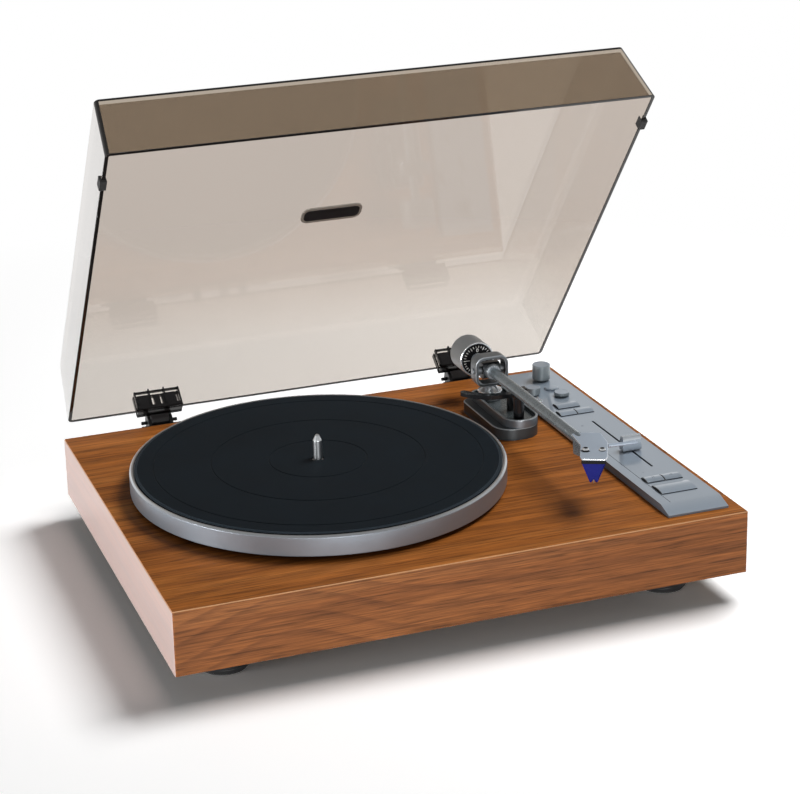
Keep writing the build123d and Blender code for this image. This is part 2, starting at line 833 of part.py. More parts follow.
board_top = plinth_top - control_board_drop
board_x = (opening_left + opening_right) / 2
board_width = opening_right - opening_left - 2 * slip_gap
board_y = (opening_front + opening_back) / 2
board_depth = opening_back - opening_front - 2 * slip_gap
boss_rows = (
    opening_front + boss_radius + cover_gap,
    panel_back - pair_key_from_back - pair_key_depth / 2 - key_flange - boss_radius - cover_gap,
    opening_back - boss_radius - cover_gap,
)
boss_columns = board_width - 2 * boss_radius - 2 * cover_gap
tall_knob_spot = (panel_right - tall_knob_from_right, panel_back - tall_knob_from_back)
disc_spot = (panel_right - disc_from_right, panel_back - disc_from_back)
short_knob_spot = (panel_right - short_knob_from_right, panel_back - short_knob_from_back)
anti_skate_spot = (panel_left + anti_skate_from_left, panel_back - anti_skate_from_back)
single_key_spot = (panel_right - single_key_from_right, panel_back - single_key_from_back)
start_key_spot = (panel_right - pair_middle_from_right, panel_front + start_key_from_front)
pitch_slot_x = panel_right - pitch_slot_from_right
pitch_slot_front = panel_front + pitch_slot_from_front
pitch_slot_length = panel_back - pitch_slot_from_back - pitch_slot_front
pitch_slot_y = pitch_slot_front + pitch_slot_length / 2
pitch_knob_y = pitch_slot_front + pitch_knob_from_slot_end
pair_offset = (pair_key_width + pair_gap) / 2
pair_x = panel_right - pair_middle_from_right

# Each key's name, middle across, middle in depth, width and depth
keys = (
    ("single_key", single_key_spot[0], single_key_spot[1], single_key_width, single_key_depth),
    ("cue_key_left", pair_x - pair_offset, panel_back - pair_key_from_back, pair_key_width, pair_key_depth),
    ("cue_key_right", pair_x + pair_offset, panel_back - pair_key_from_back, pair_key_width, pair_key_depth),
    ("speed_key_left", pair_x - pair_offset, panel_front + speed_key_from_front,
     pair_key_width, speed_key_depth),
    ("speed_key_right", pair_x + pair_offset, panel_front + speed_key_from_front,
     pair_key_width, speed_key_depth),
    ("start_key", start_key_spot[0], start_key_spot[1], start_key_width, start_key_depth),
)

with BuildPart() as control_panel:
    with BuildSketch(Plane.YZ.offset(panel_left)) as panel_side:
        with BuildLine() as panel_side_outline:
            Polyline(
                (panel_front, plinth_top),
                (panel_front, plinth_top + panel_wall),
                (panel_front + panel_slope, panel_top),
                (panel_back, panel_top),
                (panel_back, plinth_top),
                close=True,
            )
        make_face()
    extrude(amount=panel_width)
    with BuildSketch(Plane.XY.offset(plinth_top)) as panel_room:
        with Locations(((panel_left + panel_right) / 2, (panel_front + panel_slope + panel_back) / 2)):
            Rectangle(panel_width - 2 * panel_wall, panel_back - panel_front - panel_slope - 2 * panel_wall)
    extrude(amount=panel_height - panel_wall, mode=Mode.SUBTRACT)
    for boss_y in boss_rows:
        with BuildSketch(Plane.XY.offset(board_top)) as panel_bosses:
            with Locations((board_x, boss_y)):
                with GridLocations(boss_columns, 0, 2, 1):
                    Circle(boss_radius)
        extrude(amount=panel_underside - board_top)
        with BuildSketch(Plane.XY.offset(board_top)) as boss_pilots:
            with Locations((board_x, boss_y)):
                with GridLocations(boss_columns, 0, 2, 1):
                    Circle(small_screw_radius + screw_gap)
        extrude(amount=small_screw_length, mode=Mode.SUBTRACT)
    with BuildSketch(Plane.XY.offset(panel_top)) as panel_holes:
        for key_name, key_x, key_y, key_width, key_depth in keys:
            with Locations((key_x, key_y)):
                Rectangle(key_width + 2 * slip_gap, key_depth + 2 * slip_gap)
        for spot in (tall_knob_spot, short_knob_spot, anti_skate_spot):
            with Locations(spot):
                Circle(knob_shaft_radius + running_gap)
        with Locations(disc_spot):
            Circle(disc_radius + slip_gap)
        with Locations((pitch_slot_x, pitch_slot_y)):
            SlotOverall(pitch_slot_length, pitch_slot_width, rotation=90)
    extrude(amount=-panel_height, mode=Mode.SUBTRACT)
    with BuildSketch(Plane.XY.offset(panel_top)) as panel_score_line:
        score_y = panel_front + panel_slope + panel_score_length / 2
        with Locations((panel_left + panel_score_from_left, score_y)):
            Rectangle(panel_score, panel_score_length)
    extrude(amount=-panel_score, mode=Mode.SUBTRACT)
control_panel.part.label = "control_panel"
export_step(control_panel.part, "parts/control_panel.step")

with BuildPart() as control_board:
    with BuildSketch(Plane.XY.offset(board_top)) as control_board_outline:
        with Locations((board_x, board_y)):
            Rectangle(board_width, board_depth)
        for boss_y in boss_rows:
            with Locations((board_x, boss_y)):
                with GridLocations(boss_columns, 0, 2, 1):
                    Circle(small_screw_radius + screw_gap, mode=Mode.SUBTRACT)
    extrude(amount=-board_thickness)
    with BuildSketch(Plane.XY.offset(board_top)) as switches:
        for key_name, key_x, key_y, key_width, key_depth in keys:
            with Locations((key_x, key_y)):
                Rectangle(switch_height, switch_height)
        with Locations(disc_spot):
            Rectangle(switch_height, switch_height)
        for spot in (tall_knob_spot, short_knob_spot):
            with Locations(spot):
                Circle(2 * knob_shaft_radius)
                Circle(knob_shaft_radius + running_gap, mode=Mode.SUBTRACT)
    extrude(amount=switch_height)
control_board.part.label = "control_board"
export_step(control_board.part, "parts/control_board.step")

with BuildPart() as pitch_fader:
    with BuildSketch(Plane.XY.offset(board_top)) as fader_body:
        with Locations((pitch_slot_x, pitch_slot_y)):
            Rectangle(fader_width, pitch_slot_length + 2 * fader_margin)
    extrude(amount=fader_height)
    with BuildSketch(Plane.XY.offset(board_top + fader_height)) as fader_groove:
        with Locations((pitch_slot_x, pitch_slot_y)):
            Rectangle(fader_slot, pitch_slot_length)
    extrude(amount=-fader_slot_depth, mode=Mode.SUBTRACT)
pitch_fader.part.label = "pitch_fader"
export_step(pitch_fader.part, "parts/pitch_fader.step")

stem_bottom = board_top + switch_height + key_travel + switch_gap


def make_key(name, middle_x, middle_y, width, depth):
    """A push key with a crowned top, a flange that stops it under the panel and a stem for its switch."""
    with BuildPart() as key:
        with BuildSketch(Plane.YZ.offset(middle_x - width / 2)) as key_side:
            with BuildLine() as key_side_outline:
                crown = ThreePointArc(
                    (middle_y - depth / 2, panel_top + key_edge_height),
                    (middle_y, panel_top + key_proud),
                    (middle_y + depth / 2, panel_top + key_edge_height),
                )
                Polyline(
                    crown @ 1,
                    (middle_y + depth / 2, panel_underside - key_play),
                    (middle_y - depth / 2, panel_underside - key_play),
                    crown @ 0,
                )
            make_face()
        extrude(amount=width)
        with BuildSketch(Plane.XY.offset(panel_underside - key_play)) as key_flange_outline:
            with Locations((middle_x, middle_y)):
                Rectangle(width, depth + 2 * key_flange)
        extrude(amount=-key_flange_height)
        with BuildSketch(Plane.XY.offset(stem_bottom)) as key_stem:
            with Locations((middle_x, middle_y)):
                Circle(key_stem_radius)
        extrude(amount=panel_underside - key_play - stem_bottom)
    key.part.label = name
    export_step(key.part, f"parts/{name}.step")


for key_name, key_x, key_y, key_width, key_depth in keys:
    make_key(key_name, key_x, key_y, key_width, key_depth)

with BuildPart() as disc_button:
    with BuildSketch(Plane.XY.offset(panel_underside - key_play)) as disc_outline:
        with Locations(disc_spot):
            Circle(disc_radius)
    extrude(amount=panel_wall + key_play + disc_height)
    chamfer(disc_button.faces().sort_by(Axis.Z)[-1].edges(), knob_edge)
    with BuildSketch(Plane.XY.offset(panel_underside - key_play)) as disc_flange:
        with Locations(disc_spot):
            Circle(disc_radius + key_flange)
    extrude(amount=-key_flange_height)
    with BuildSketch(Plane.XY.offset(stem_bottom)) as disc_stem:
        with Locations(disc_spot):
            Circle(key_stem_radius)
    extrude(amount=panel_underside - key_play - stem_bottom)
disc_button.part.label = "disc_button"
export_step(disc_button.part, "parts/disc_button.step")

knob_shaft_bottom = board_top + switch_height - knob_shaft_depth

with BuildPart() as tall_knob:
    with BuildSketch(Plane.XY.offset(panel_top + knob_lift)) as tall_knob_outline:
        with Locations(tall_knob_spot):
            Circle(tall_knob_radius)
    extrude(amount=tall_knob_height)
    chamfer(tall_knob.faces().sort_by(Axis.Z)[-1].edges(), knob_edge)
    with BuildSketch(Plane.XY.offset(knob_shaft_bottom)) as tall_knob_shaft:
        with Locations(tall_knob_spot):
            Circle(knob_shaft_radius)
    extrude(amount=panel_top + knob_lift - knob_shaft_bottom)
tall_knob.part.label = "tall_knob"
export_step(tall_knob.part, "parts/tall_knob.step")

with BuildPart() as short_knob:
    with BuildSketch(Plane.XY.offset(panel_top + knob_lift)) as short_knob_base:
        with Locations(short_knob_spot):
            Circle(short_knob_base_radius)
    extrude(amount=knob_edge)
    with BuildSketch(Plane.XY.offset(panel_top + knob_lift)) as short_knob_outline:
        with Locations(short_knob_spot):
            Circle(short_knob_radius)
    extrude(amount=short_knob_height)
    chamfer(short_knob.faces().sort_by(Axis.Z)[-1].edges(), knob_edge)
    with BuildSketch(Plane.XY.offset(knob_shaft_bottom)) as short_knob_shaft:
        with Locations(short_knob_spot):
            Circle(knob_shaft_radius)
    extrude(amount=panel_top + knob_lift - knob_shaft_bottom)
short_knob.part.label = "short_knob"
export_step(short_knob.part, "parts/short_knob.step")

with BuildPart() as anti_skate_knob:
    with BuildSketch(Plane.XY.offset(panel_top + knob_lift)) as anti_skate_outline:
        with Locations(anti_skate_spot):
            Circle(anti_skate_radius)
    extrude(amount=anti_skate_height)
    chamfer(anti_skate_knob.faces().sort_by(Axis.Z)[-1].edges(), knob_edge)
    with BuildSketch(Plane.XY.offset(plinth_top + key_play)) as anti_skate_shaft:
        with Locations(anti_skate_spot):
            Circle(knob_shaft_radius)
    extrude(amount=panel_height + knob_lift - key_play)
anti_skate_knob.part.label = "anti_skate_knob"
export_step(anti_skate_knob.part, "parts/anti_skate_knob.step")

with BuildPart() as pitch_slider:
    with BuildSketch(Plane.YZ.offset(pitch_slot_x - pitch_knob_width / 2)) as slider_side:
        with BuildLine() as slider_side_outline:
            Polyline(
                (pitch_knob_y - pitch_knob_depth / 2, panel_top + knob_lift),
                (pitch_knob_y - pitch_knob_depth / 2, panel_top + knob_lift + pitch_knob_face),
                (pitch_knob_y - pitch_knob_ridge / 2, panel_top + knob_lift + pitch_knob_height),
                (pitch_knob_y + pitch_knob_ridge / 2, panel_top + knob_lift + pitch_knob_height),
                (pitch_knob_y + pitch_knob_depth / 2, panel_top + knob_lift + pitch_knob_height / 2),
                (pitch_knob_y + pitch_knob_depth / 2, panel_top + knob_lift),
                close=True,
            )
        make_face()
    extrude(amount=pitch_knob_width)
    with BuildSketch(Plane.XY.offset(panel_top + knob_lift)) as slider_stem:
        with Locations((pitch_slot_x, pitch_knob_y)):
            Rectangle(pitch_stem_width, pitch_stem_depth)
    extrude(amount=-(panel_height + knob_lift + control_board_drop - fader_height + fader_slot_depth / 2))
pitch_slider.part.label = "pitch_slider"
export_step(pitch_slider.part, "parts/pitch_slider.step")


# Tonearm base, pillar, cue lift and arm rest

lower_tier_top = plinth_top + lower_tier_height
upper_tier_top = lower_tier_top + upper_tier_height
recess_floor = lower_tier_top + upper_floor
pillar_top = recess_floor + pillar_height
tier_length = tier_front + tier_back
tier_y = pivot_y + (tier_back - tier_front) / 2
upper_tier_x = pivot_x + upper_tier_shift


def tier_outline(width, length, front_round, back_round):
    """Rectangle with one radius on its two front corners and another on its two back corners."""
    with BuildSketch() as outline:
        Rectangle(width, length)
        fillet(outline.vertices().group_by(Axis.Y)[0], front_round)
        fillet(outline.vertices().group_by(Axis.Y)[-1], back_round)
    return outline.sketch


lower_outline = tier_outline(lower_tier_width, tier_length, lower_front_round, lower_back_round)
upper_outline = tier_outline(upper_tier_width, tier_length, upper_front_round, upper_back_round)
upper_room_outline = tier_outline(
    upper_tier_width - 2 * upper_tier_wall,
    tier_length - 2 * upper_tier_wall,
    upper_front_round - upper_tier_wall,
    upper_back_round - upper_tier_wall,
)

with BuildPart() as arm_base_lower:
    with BuildSketch(Plane.XY.offset(plinth_top)) as lower_tier_sketch:
        with Locations((pivot_x, tier_y)):
            add(lower_outline)
        with Locations((pivot_x, pivot_y)):
            Circle(pillar_stem_radius + slip_gap, mode=Mode.SUBTRACT)
        with Locations((lift_rod_x, lift_rod_y)):
            Circle(lift_rod_radius + slip_gap, mode=Mode.SUBTRACT)
    extrude(amount=lower_tier_height)
arm_base_lower.part.label = "arm_base_lower"
export_step(arm_base_lower.part, "parts/arm_base_lower.step")

with BuildPart() as arm_base_upper:
    with BuildSketch(Plane.XY.offset(lower_tier_top)) as upper_tier_sketch:
        with Locations((upper_tier_x, tier_y)):
            add(upper_outline)
    extrude(amount=upper_tier_height)
    with BuildSketch(Plane.XY.offset(upper_tier_top)) as upper_room:
        with Locations((upper_tier_x, tier_y)):
            add(upper_room_outline)
    extrude(amount=-(upper_tier_height - upper_floor), mode=Mode.SUBTRACT)
    with BuildSketch(Plane.XY.offset(recess_floor)) as lift_bush:
        with Locations((lift_rod_x, lift_rod_y)):
            Circle(lift_bush_radius)
    extrude(amount=lift_bush_height)
    with BuildSketch(Plane.XY.offset(recess_floor + lift_bush_height)) as lift_bore:
        with Locations((lift_rod_x, lift_rod_y)):
            Circle(lift_rod_radius + running_gap)
    extrude(amount=-(lift_bush_height + upper_floor), mode=Mode.SUBTRACT)
    with BuildSketch(Plane.XY.offset(recess_floor)) as pillar_hole:
        with Locations((pivot_x, pivot_y)):
            Circle(pillar_stem_radius + slip_gap)
    extrude(amount=-upper_floor, mode=Mode.SUBTRACT)
arm_base_upper.part.label = "arm_base_upper"
export_step(arm_base_upper.part, "parts/arm_base_upper.step")

with BuildPart() as arm_pillar:
    with BuildSketch(Plane.XY.offset(recess_floor)) as pillar_collar:
        with Locations((pivot_x, pivot_y)):
            Circle(pillar_radius)
    extrude(amount=pillar_height)
    with BuildSketch(Plane.XY.offset(recess_floor)) as pillar_stem:
        with Locations((pivot_x, pivot_y)):
            Circle(pillar_stem_radius)
    extrude(amount=plinth_top - pillar_stem_depth - recess_floor)
    with BuildSketch(Plane.XY.offset(pillar_top)) as pillar_bore:
        with Locations((pivot_x, pivot_y)):
            Circle(neck_shaft_radius + running_gap)
    extrude(amount=plinth_top - pillar_stem_depth - pillar_top, mode=Mode.SUBTRACT)
arm_pillar.part.label = "arm_pillar"
export_step(arm_pillar.part, "parts/arm_pillar.step")

with BuildPart() as pillar_nut:
    with BuildSketch(Plane.XY.offset(deck_underside)) as nut_outline:
        with Locations((pivot_x, pivot_y)):
            RegularPolygon(pillar_nut_radius, 6)
            Circle(pillar_stem_radius + screw_gap, mode=Mode.SUBTRACT)
    extrude(amount=-pillar_nut_height)
pillar_nut.part.label = "pillar_nut"
export_step(pillar_nut.part, "parts/pillar_nut.step")

lift_level = plinth_top + lift_underside
lift_middle_radius = (lift_outer_radius + lift_inner_radius) / 2
lift_band = lift_outer_radius - lift_inner_radius
lift_arc = CenterArc((0, 0), lift_middle_radius, -90 - lift_end, lift_end - lift_start)
with BuildPart() as lift_platform:
    with BuildSketch(Plane.XY.offset(lift_level)) as lift_bar:
        with Locations((pivot_x, pivot_y)):
            SlotArc(lift_arc, lift_band)
    extrude(amount=lift_thickness)
    with BuildSketch(Plane.XY.offset(lift_level)) as lift_rod:
        with Locations((lift_rod_x, lift_rod_y)):
            Circle(lift_rod_radius)
    extrude(amount=deck_underside - lift_level)
lift_platform.part.label = "lift_platform"
export_step(lift_platform.part, "parts/lift_platform.step")

# The arm's own axes start at its pivot: X towards the headshell, Y to the right and Z up.
neck_place = Location((pivot_x, pivot_y, pivot_z), (0, 0, arm_turn - 90))
arm_place = neck_place * Location((0, 0, 0), (0, -arm_rise, 0))
head_place = arm_place * Location((headshell_bend, 0, 0), (0, 0, -headshell_offset))

cradle_top = -(tube_radius + rest_gap)
cradle_right = tube_radius + rest_gap
hub_y = cradle_right + rest_lip_thickness / 2
rest_point = (arm_place * Location((rest_distance, rest_side, cradle_top - rest_cradle_height))).position

rest_start = rest_distance - rest_cradle_length / 2
rest_end = rest_distance + rest_cradle_length / 2
with BuildPart() as rest_post:
    with BuildSketch(placed(arm_place, Plane.YZ.offset(rest_start))) as cradle_section:
        with BuildLine() as cradle_outline:
            Polyline(
                (-rest_cradle_left, cradle_top),
                (cradle_right, cradle_top),
                (cradle_right, cradle_top + rest_lip_height),
                (cradle_right + rest_lip_thickness, cradle_top + rest_lip_height),
                (cradle_right + rest_lip_thickness, cradle_top - rest_cradle_height),
                (-rest_cradle_left, cradle_top - rest_cradle_height),
                close=True,
            )
        make_face()
        with Locations((hub_y, clip_hub_above_tube)):
            Circle(clip_pin_radius + running_gap, mode=Mode.SUBTRACT)
    extrude(amount=rest_cradle_length)
    with BuildSketch(Plane.XY.offset(recess_floor)) as post_section:
        with Locations((rest_point.X, rest_point.Y)):
            Circle(rest_radius)
    extrude(amount=rest_point.Z + rest_cradle_height / 2 - recess_floor)
rest_post.part.label = "rest_post"
export_step(rest_post.part, "parts/rest_post.step")

clip_place = (
    arm_place
    * Location((rest_end + slip_gap, hub_y, clip_hub_above_tube), (-clip_open, 0, 0))
    * Location((0, -hub_y, -clip_hub_above_tube))
)
clip_radius = tube_radius + clip_gap
ball_distance = clip_radius + clip_thickness + clip_ball_reach
ball_direction = (0, cos(radians(clip_ball_angle)), sin(radians(clip_ball_angle)))
ball_plane = Plane(
    (clip_width / 2, ball_distance * ball_direction[1], ball_distance * ball_direction[2]),
    x_dir=(1, 0, 0),
    z_dir=ball_direction,
)

with BuildPart() as rest_clip:
    with BuildSketch(placed(clip_place, Plane.YZ)) as clip_section:
        Circle(clip_radius + clip_thickness)
        Circle(clip_radius, mode=Mode.SUBTRACT)
        with BuildLine() as clip_window:
            reach = 2 * clip_radius + clip_thickness
            clip_end = radians(clip_start + clip_sweep)
            Polyline(
                (0, 0),
                (reach * cos(radians(clip_start)), reach * sin(radians(clip_start))),
                (reach, reach),
                (-reach, reach),
                (reach * cos(clip_end), reach * sin(clip_end)),
                close=True,
            )
        make_face(mode=Mode.INTERSECT)
        with Locations((hub_y, clip_hub_above_tube)):
            Circle(clip_hub_radius)
    extrude(amount=clip_width)
    with BuildSketch(placed(clip_place, ball_plane)) as clip_stub:
        Circle(clip_stub_radius)
    extrude(amount=-clip_ball_reach - clip_thickness / 2)
    with Locations(placed(clip_place, ball_plane)):
        Sphere(clip_ball_radius)
    with BuildSketch(placed(clip_place, Plane.YZ)) as clip_pin:
        with Locations((hub_y, clip_hub_above_tube)):
            Circle(clip_pin_radius)
    extrude(amount=-rest_cradle_length)
rest_clip.part.label = "rest_clip"
export_step(rest_clip.part, "parts/rest_clip.step")


# Neck and gimbal, which turn about the upright pivot

neck_bottom = pillar_top + slip_gap
gimbal_bottom = pivot_z - gimbal_height / 2
sleeve_end = gimbal_width / 2 - gimbal_wall - gimbal_sleeve
block_half_width = sleeve_end - slip_gap

with BuildPart() as neck_shaft:
    with BuildSketch(placed(neck_place, Plane.XZ)) as neck_section:
        with BuildLine() as neck_outline:
            flare = ThreePointArc(
                (neck_base_radius, neck_bottom + neck_base - pivot_z),
                (neck_waist_radius, (neck_bottom + neck_base + gimbal_bottom) / 2 - pivot_z),
                (neck_top_radius, gimbal_bottom - pivot_z),
            )
            Polyline(
                flare @ 1,
                (0, gimbal_bottom - pivot_z),
                (0, neck_bottom - pivot_z),
                (neck_base_radius, neck_bottom - pivot_z),
                flare @ 0,
            )
        make_face()
    revolve(axis=Axis((pivot_x, pivot_y, 0), (0, 0, 1)))
    with BuildSketch(Plane.XY.offset(neck_bottom)) as neck_shaft_section:
        with Locations((pivot_x, pivot_y)):
            Circle(neck_shaft_radius)
    extrude(amount=plinth_top - pillar_stem_depth - neck_bottom)
neck_shaft.part.label = "neck_shaft"
export_step(neck_shaft.part, "parts/neck_shaft.step")

with BuildPart() as gimbal_frame:
    with BuildSketch(placed(neck_place, Plane.YZ.offset(-gimbal_depth / 2))) as gimbal_section:
        RectangleRounded(gimbal_width, gimbal_height, gimbal_corner)
        RectangleRounded(
            gimbal_width - 2 * gimbal_wall,
            gimbal_height - 2 * gimbal_wall,
            gimbal_corner - gimbal_wall,
            mode=Mode.SUBTRACT,
        )
    extrude(amount=gimbal_depth)
    with BuildSketch(placed(neck_place, Plane.XZ.offset(-gimbal_width / 2))) as gimbal_screw_hole:
        Circle(gimbal_screw_radius + screw_gap)
    extrude(amount=gimbal_width, mode=Mode.SUBTRACT)
gimbal_frame.part.label = "gimbal_frame"
export_step(gimbal_frame.part, "parts/gimbal_frame.step")

# Each step of a bearing screw: radius, and how far out from the pivot it starts and ends
bearing_steps = (
    (gimbal_screw_head, gimbal_width / 2, gimbal_width / 2 + gimbal_screw_radius / 2),
    (gimbal_screw_radius, gimbal_width / 2 - gimbal_wall, gimbal_width / 2),
    (gimbal_sleeve_radius, sleeve_end, gimbal_width / 2 - gimbal_wall),
    (gimbal_point_radius, sleeve_end - gimbal_point, sleeve_end),
)
with BuildPart() as gimbal_screws:
    for side in (-1, 1):
        for step_radius, inner, outer in bearing_steps:
            with BuildSketch(placed(neck_place, Plane.XZ.offset(-side * inner))) as bearing_step:
                Circle(step_radius)
            extrude(amount=side * (inner - outer))
gimbal_screws.part.label = "gimbal_screws"
export_step(gimbal_screws.part, "parts/gimbal_screws.step")


# Tonearm, which tilts in the gimbal

with BuildPart() as pivot_block:
    with BuildSketch(placed(arm_place, Plane.XZ.offset(-block_half_width))) as block_section:
        RectangleRounded(pivot_block_length, pivot_block_height, pivot_block_corner)
    extrude(amount=2 * block_half_width)
    with BuildSketch(placed(arm_place, Plane.YZ.offset(pivot_block_length / 2))) as collar_section:
        Circle(collar_radius)
    extrude(amount=collar_length)
    with BuildSketch(placed(arm_place, Plane.YZ.offset(pivot_block_length / 2))) as tube_seat:
        Circle(tube_radius + screw_gap)
    extrude(amount=collar_length, mode=Mode.SUBTRACT)
    for side in (-1, 1):
        with BuildSketch(placed(arm_place, Plane.XZ.offset(-side * block_half_width))) as trunnion:
            Circle(gimbal_point_radius + running_gap)
        extrude(amount=side * gimbal_point, mode=Mode.SUBTRACT)
pivot_block.part.label = "pivot_block"
export_step(pivot_block.part, "parts/pivot_block.step")

with BuildPart() as arm_tube:
    with BuildSketch(placed(arm_place, Plane.YZ.offset(pivot_block_length / 2))) as tube_section:
        Circle(tube_radius)
    extrude(amount=tube_end - pivot_block_length / 2)
arm_tube.part.label = "arm_tube"
export_step(arm_tube.part, "parts/arm_tube.step")

with BuildPart() as rear_shaft:
    with BuildSketch(placed(arm_place, Plane.YZ.offset(-pivot_block_length / 2))) as rear_section:
        Circle(rear_shaft_radius)
    extrude(amount=pivot_block_length / 2 - rear_shaft_end)
rear_shaft.part.label = "rear_shaft"
export_step(rear_shaft.part, "parts/rear_shaft.step")

dial_radius = weight_radius - weight_rim
with BuildPart() as counterweight:
    with BuildSketch(placed(arm_place, Plane.YZ.offset(-weight_front))) as weight_section:
        Circle(weight_radius)
    extrude(amount=-weight_length)
    chamfer(counterweight.edges().filter_by(GeomType.CIRCLE), weight_edge)
    with BuildSketch(placed(arm_place, Plane.YZ.offset(-weight_front))) as weight_recess_section:
        Circle(dial_radius + slip_gap)
    extrude(amount=-weight_recess, mode=Mode.SUBTRACT)
    with BuildSketch(placed(arm_place, Plane.YZ.offset(-weight_front))) as weight_bore:
        Circle(rear_shaft_radius + running_gap)
    extrude(amount=-weight_length, mode=Mode.SUBTRACT)
counterweight.part.label = "counterweight"
export_step(counterweight.part, "parts/counterweight.step")

with BuildPart() as tracking_dial:
    with BuildSketch(placed(arm_place, Plane.YZ.offset(dial_proud - weight_front))) as dial_section:
        Circle(dial_radius)
        Circle(rear_shaft_radius + running_gap, mode=Mode.SUBTRACT)
    extrude(amount=slip_gap - weight_recess - dial_proud)
tracking_dial.part.label = "tracking_dial"
export_step(tracking_dial.part, "parts/tracking_dial.step")


# Headshell, cartridge and finger lift. The headshell's axes start where its line meets the arm's.

turn_cos = cos(radians(headshell_offset))
turn_sin = sin(radians(headshell_offset))

tube_left = (tube_radius * turn_sin - tube_end_from_bend * turn_cos,
             -tube_radius * turn_cos - tube_end_from_bend * turn_sin)
tube_right = (-tube_radius * turn_sin - tube_end_from_bend * turn_cos,
              tube_radius * turn_cos - tube_end_from_bend * turn_sin)
elbow = (tube_left[0] + skirt_length * turn_cos, -headshell_width / 2)

with BuildPart() as headshell:
    with BuildSketch(placed(head_place, Plane.XY)) as headshell_outline:
        with BuildLine() as headshell_edge:
            Polyline(
                tube_left,
                elbow,
                (headshell_front - headshell_chamfer, -headshell_width / 2),
                (headshell_front, headshell_chamfer_side - headshell_width / 2),
                (headshell_front, headshell_width / 2 - headshell_chamfer_side),
                (headshell_front - headshell_chamfer, headshell_width / 2),
                (headshell_front - headshell_back, headshell_width / 2),
                (-headshell_back, tube_radius),
                tube_right,
                close=True,
            )
        make_face()
        with Locations((cartridge_screw_from_bend, 0)):
            with GridLocations(0, cartridge_screw_spacing, 1, 2):
                Circle(cartridge_screw_radius + slip_gap, mode=Mode.SUBTRACT)
    extrude(amount=-headshell_plate)
    with BuildSketch(placed(arm_place, Plane.XZ.offset(tube_radius))) as skirt_section:
        with BuildLine() as skirt_outline:
            Polyline(
                (tube_end + skirt_start, 0),
                (tube_end + skirt_length, 0),
                (tube_end + skirt_length - skirt_slant, -skirt_depth),
                (tube_end + skirt_start + skirt_slant, -skirt_depth),
                close=True,
            )
        make_face()
    extrude(amount=-skirt_thickness)
    with BuildSketch(placed(arm_place, Plane.YZ.offset(tube_end))) as socket_start:
        Circle(tube_radius)
    with BuildSketch(placed(arm_place, Plane.YZ.offset(tube_end + socket_length))) as socket_end:
        with Locations((0, -headshell_plate / 2)):
            Ellipse(tube_radius, headshell_plate / 2)
    loft()
headshell.part.label = "headshell"
export_step(headshell.part, "parts/headshell.step")

finger_root_y = headshell_width / 2 - finger_lift_radius
with BuildPart() as finger_lift:
    with BuildLine() as finger_path:
        PolarLine(
            (head_place * Location((finger_lift_from_bend, finger_root_y, -headshell_plate / 2))).position,
            finger_lift_reach + finger_lift_radius,
            direction=placed(head_place, Plane.XY.rotated((0, 0, 90 + finger_lift_sweep))).x_dir,
        )
    with BuildSketch(Plane(origin=finger_path.line @ 0, z_dir=finger_path.line % 0)) as finger_section:
        Circle(finger_lift_radius)
    sweep()
    split(bisect_by=placed(head_place, Plane.XZ.offset(-headshell_width / 2)), keep=Keep.BOTTOM)
finger_lift.part.label = "finger_lift"
export_step(finger_lift.part, "parts/finger_lift.step")

cartridge_top = -headshell_plate
cartridge_back = headshell_front - cartridge_length
cartridge_front = headshell_front - headshell_chamfer_side
with BuildPart() as cartridge:
    with BuildSketch(placed(head_place, Plane.XY.offset(cartridge_top))) as cartridge_mount:
        with Locations(((cartridge_back + cartridge_front - stylus_length / 2) / 2, 0)):
            Rectangle(cartridge_front - cartridge_back - stylus_length / 2, cartridge_width)
        with Locations((cartridge_screw_from_bend, 0)):
            with GridLocations(0, cartridge_screw_spacing, 1, 2):
                Circle(cartridge_screw_radius + slip_gap, mode=Mode.SUBTRACT)
    extrude(amount=-cartridge_flange)
    with BuildSketch(placed(head_place, Plane.XY.offset(cartridge_top - cartridge_flange))) as cartridge_body:
        with Locations(((cartridge_back + cartridge_front - stylus_length) / 2, 0)):
            Rectangle(
                cartridge_front - cartridge_back - stylus_length,
                cartridge_screw_spacing - 2 * cartridge_nut_radius - slip_gap,
            )
    extrude(amount=-(cartridge_height - cartridge_flange))
cartridge.part.label = "cartridge"
export_step(cartridge.part, "parts/cartridge.step")

with BuildPart() as cartridge_screws:
    for step_radius, step_start, step_end in (
        (cartridge_head_radius, 0, cartridge_head),
        (cartridge_screw_radius, -headshell_plate - cartridge_flange - cartridge_nut, 0),
        (
            cartridge_nut_radius,
            -headshell_plate - cartridge_flange - cartridge_nut,
            -headshell_plate - cartridge_flange,
        ),
    ):
        with BuildSketch(placed(head_place, Plane.XY.offset(step_start))) as screw_step:
            with Locations((cartridge_screw_from_bend, 0)):
                with GridLocations(0, cartridge_screw_spacing, 1, 2):
                    Circle(step_radius)
        extrude(amount=step_end - step_start)
cartridge_screws.part.label = "cartridge_screws"
export_step(cartridge_screws.part, "parts/cartridge_screws.step")

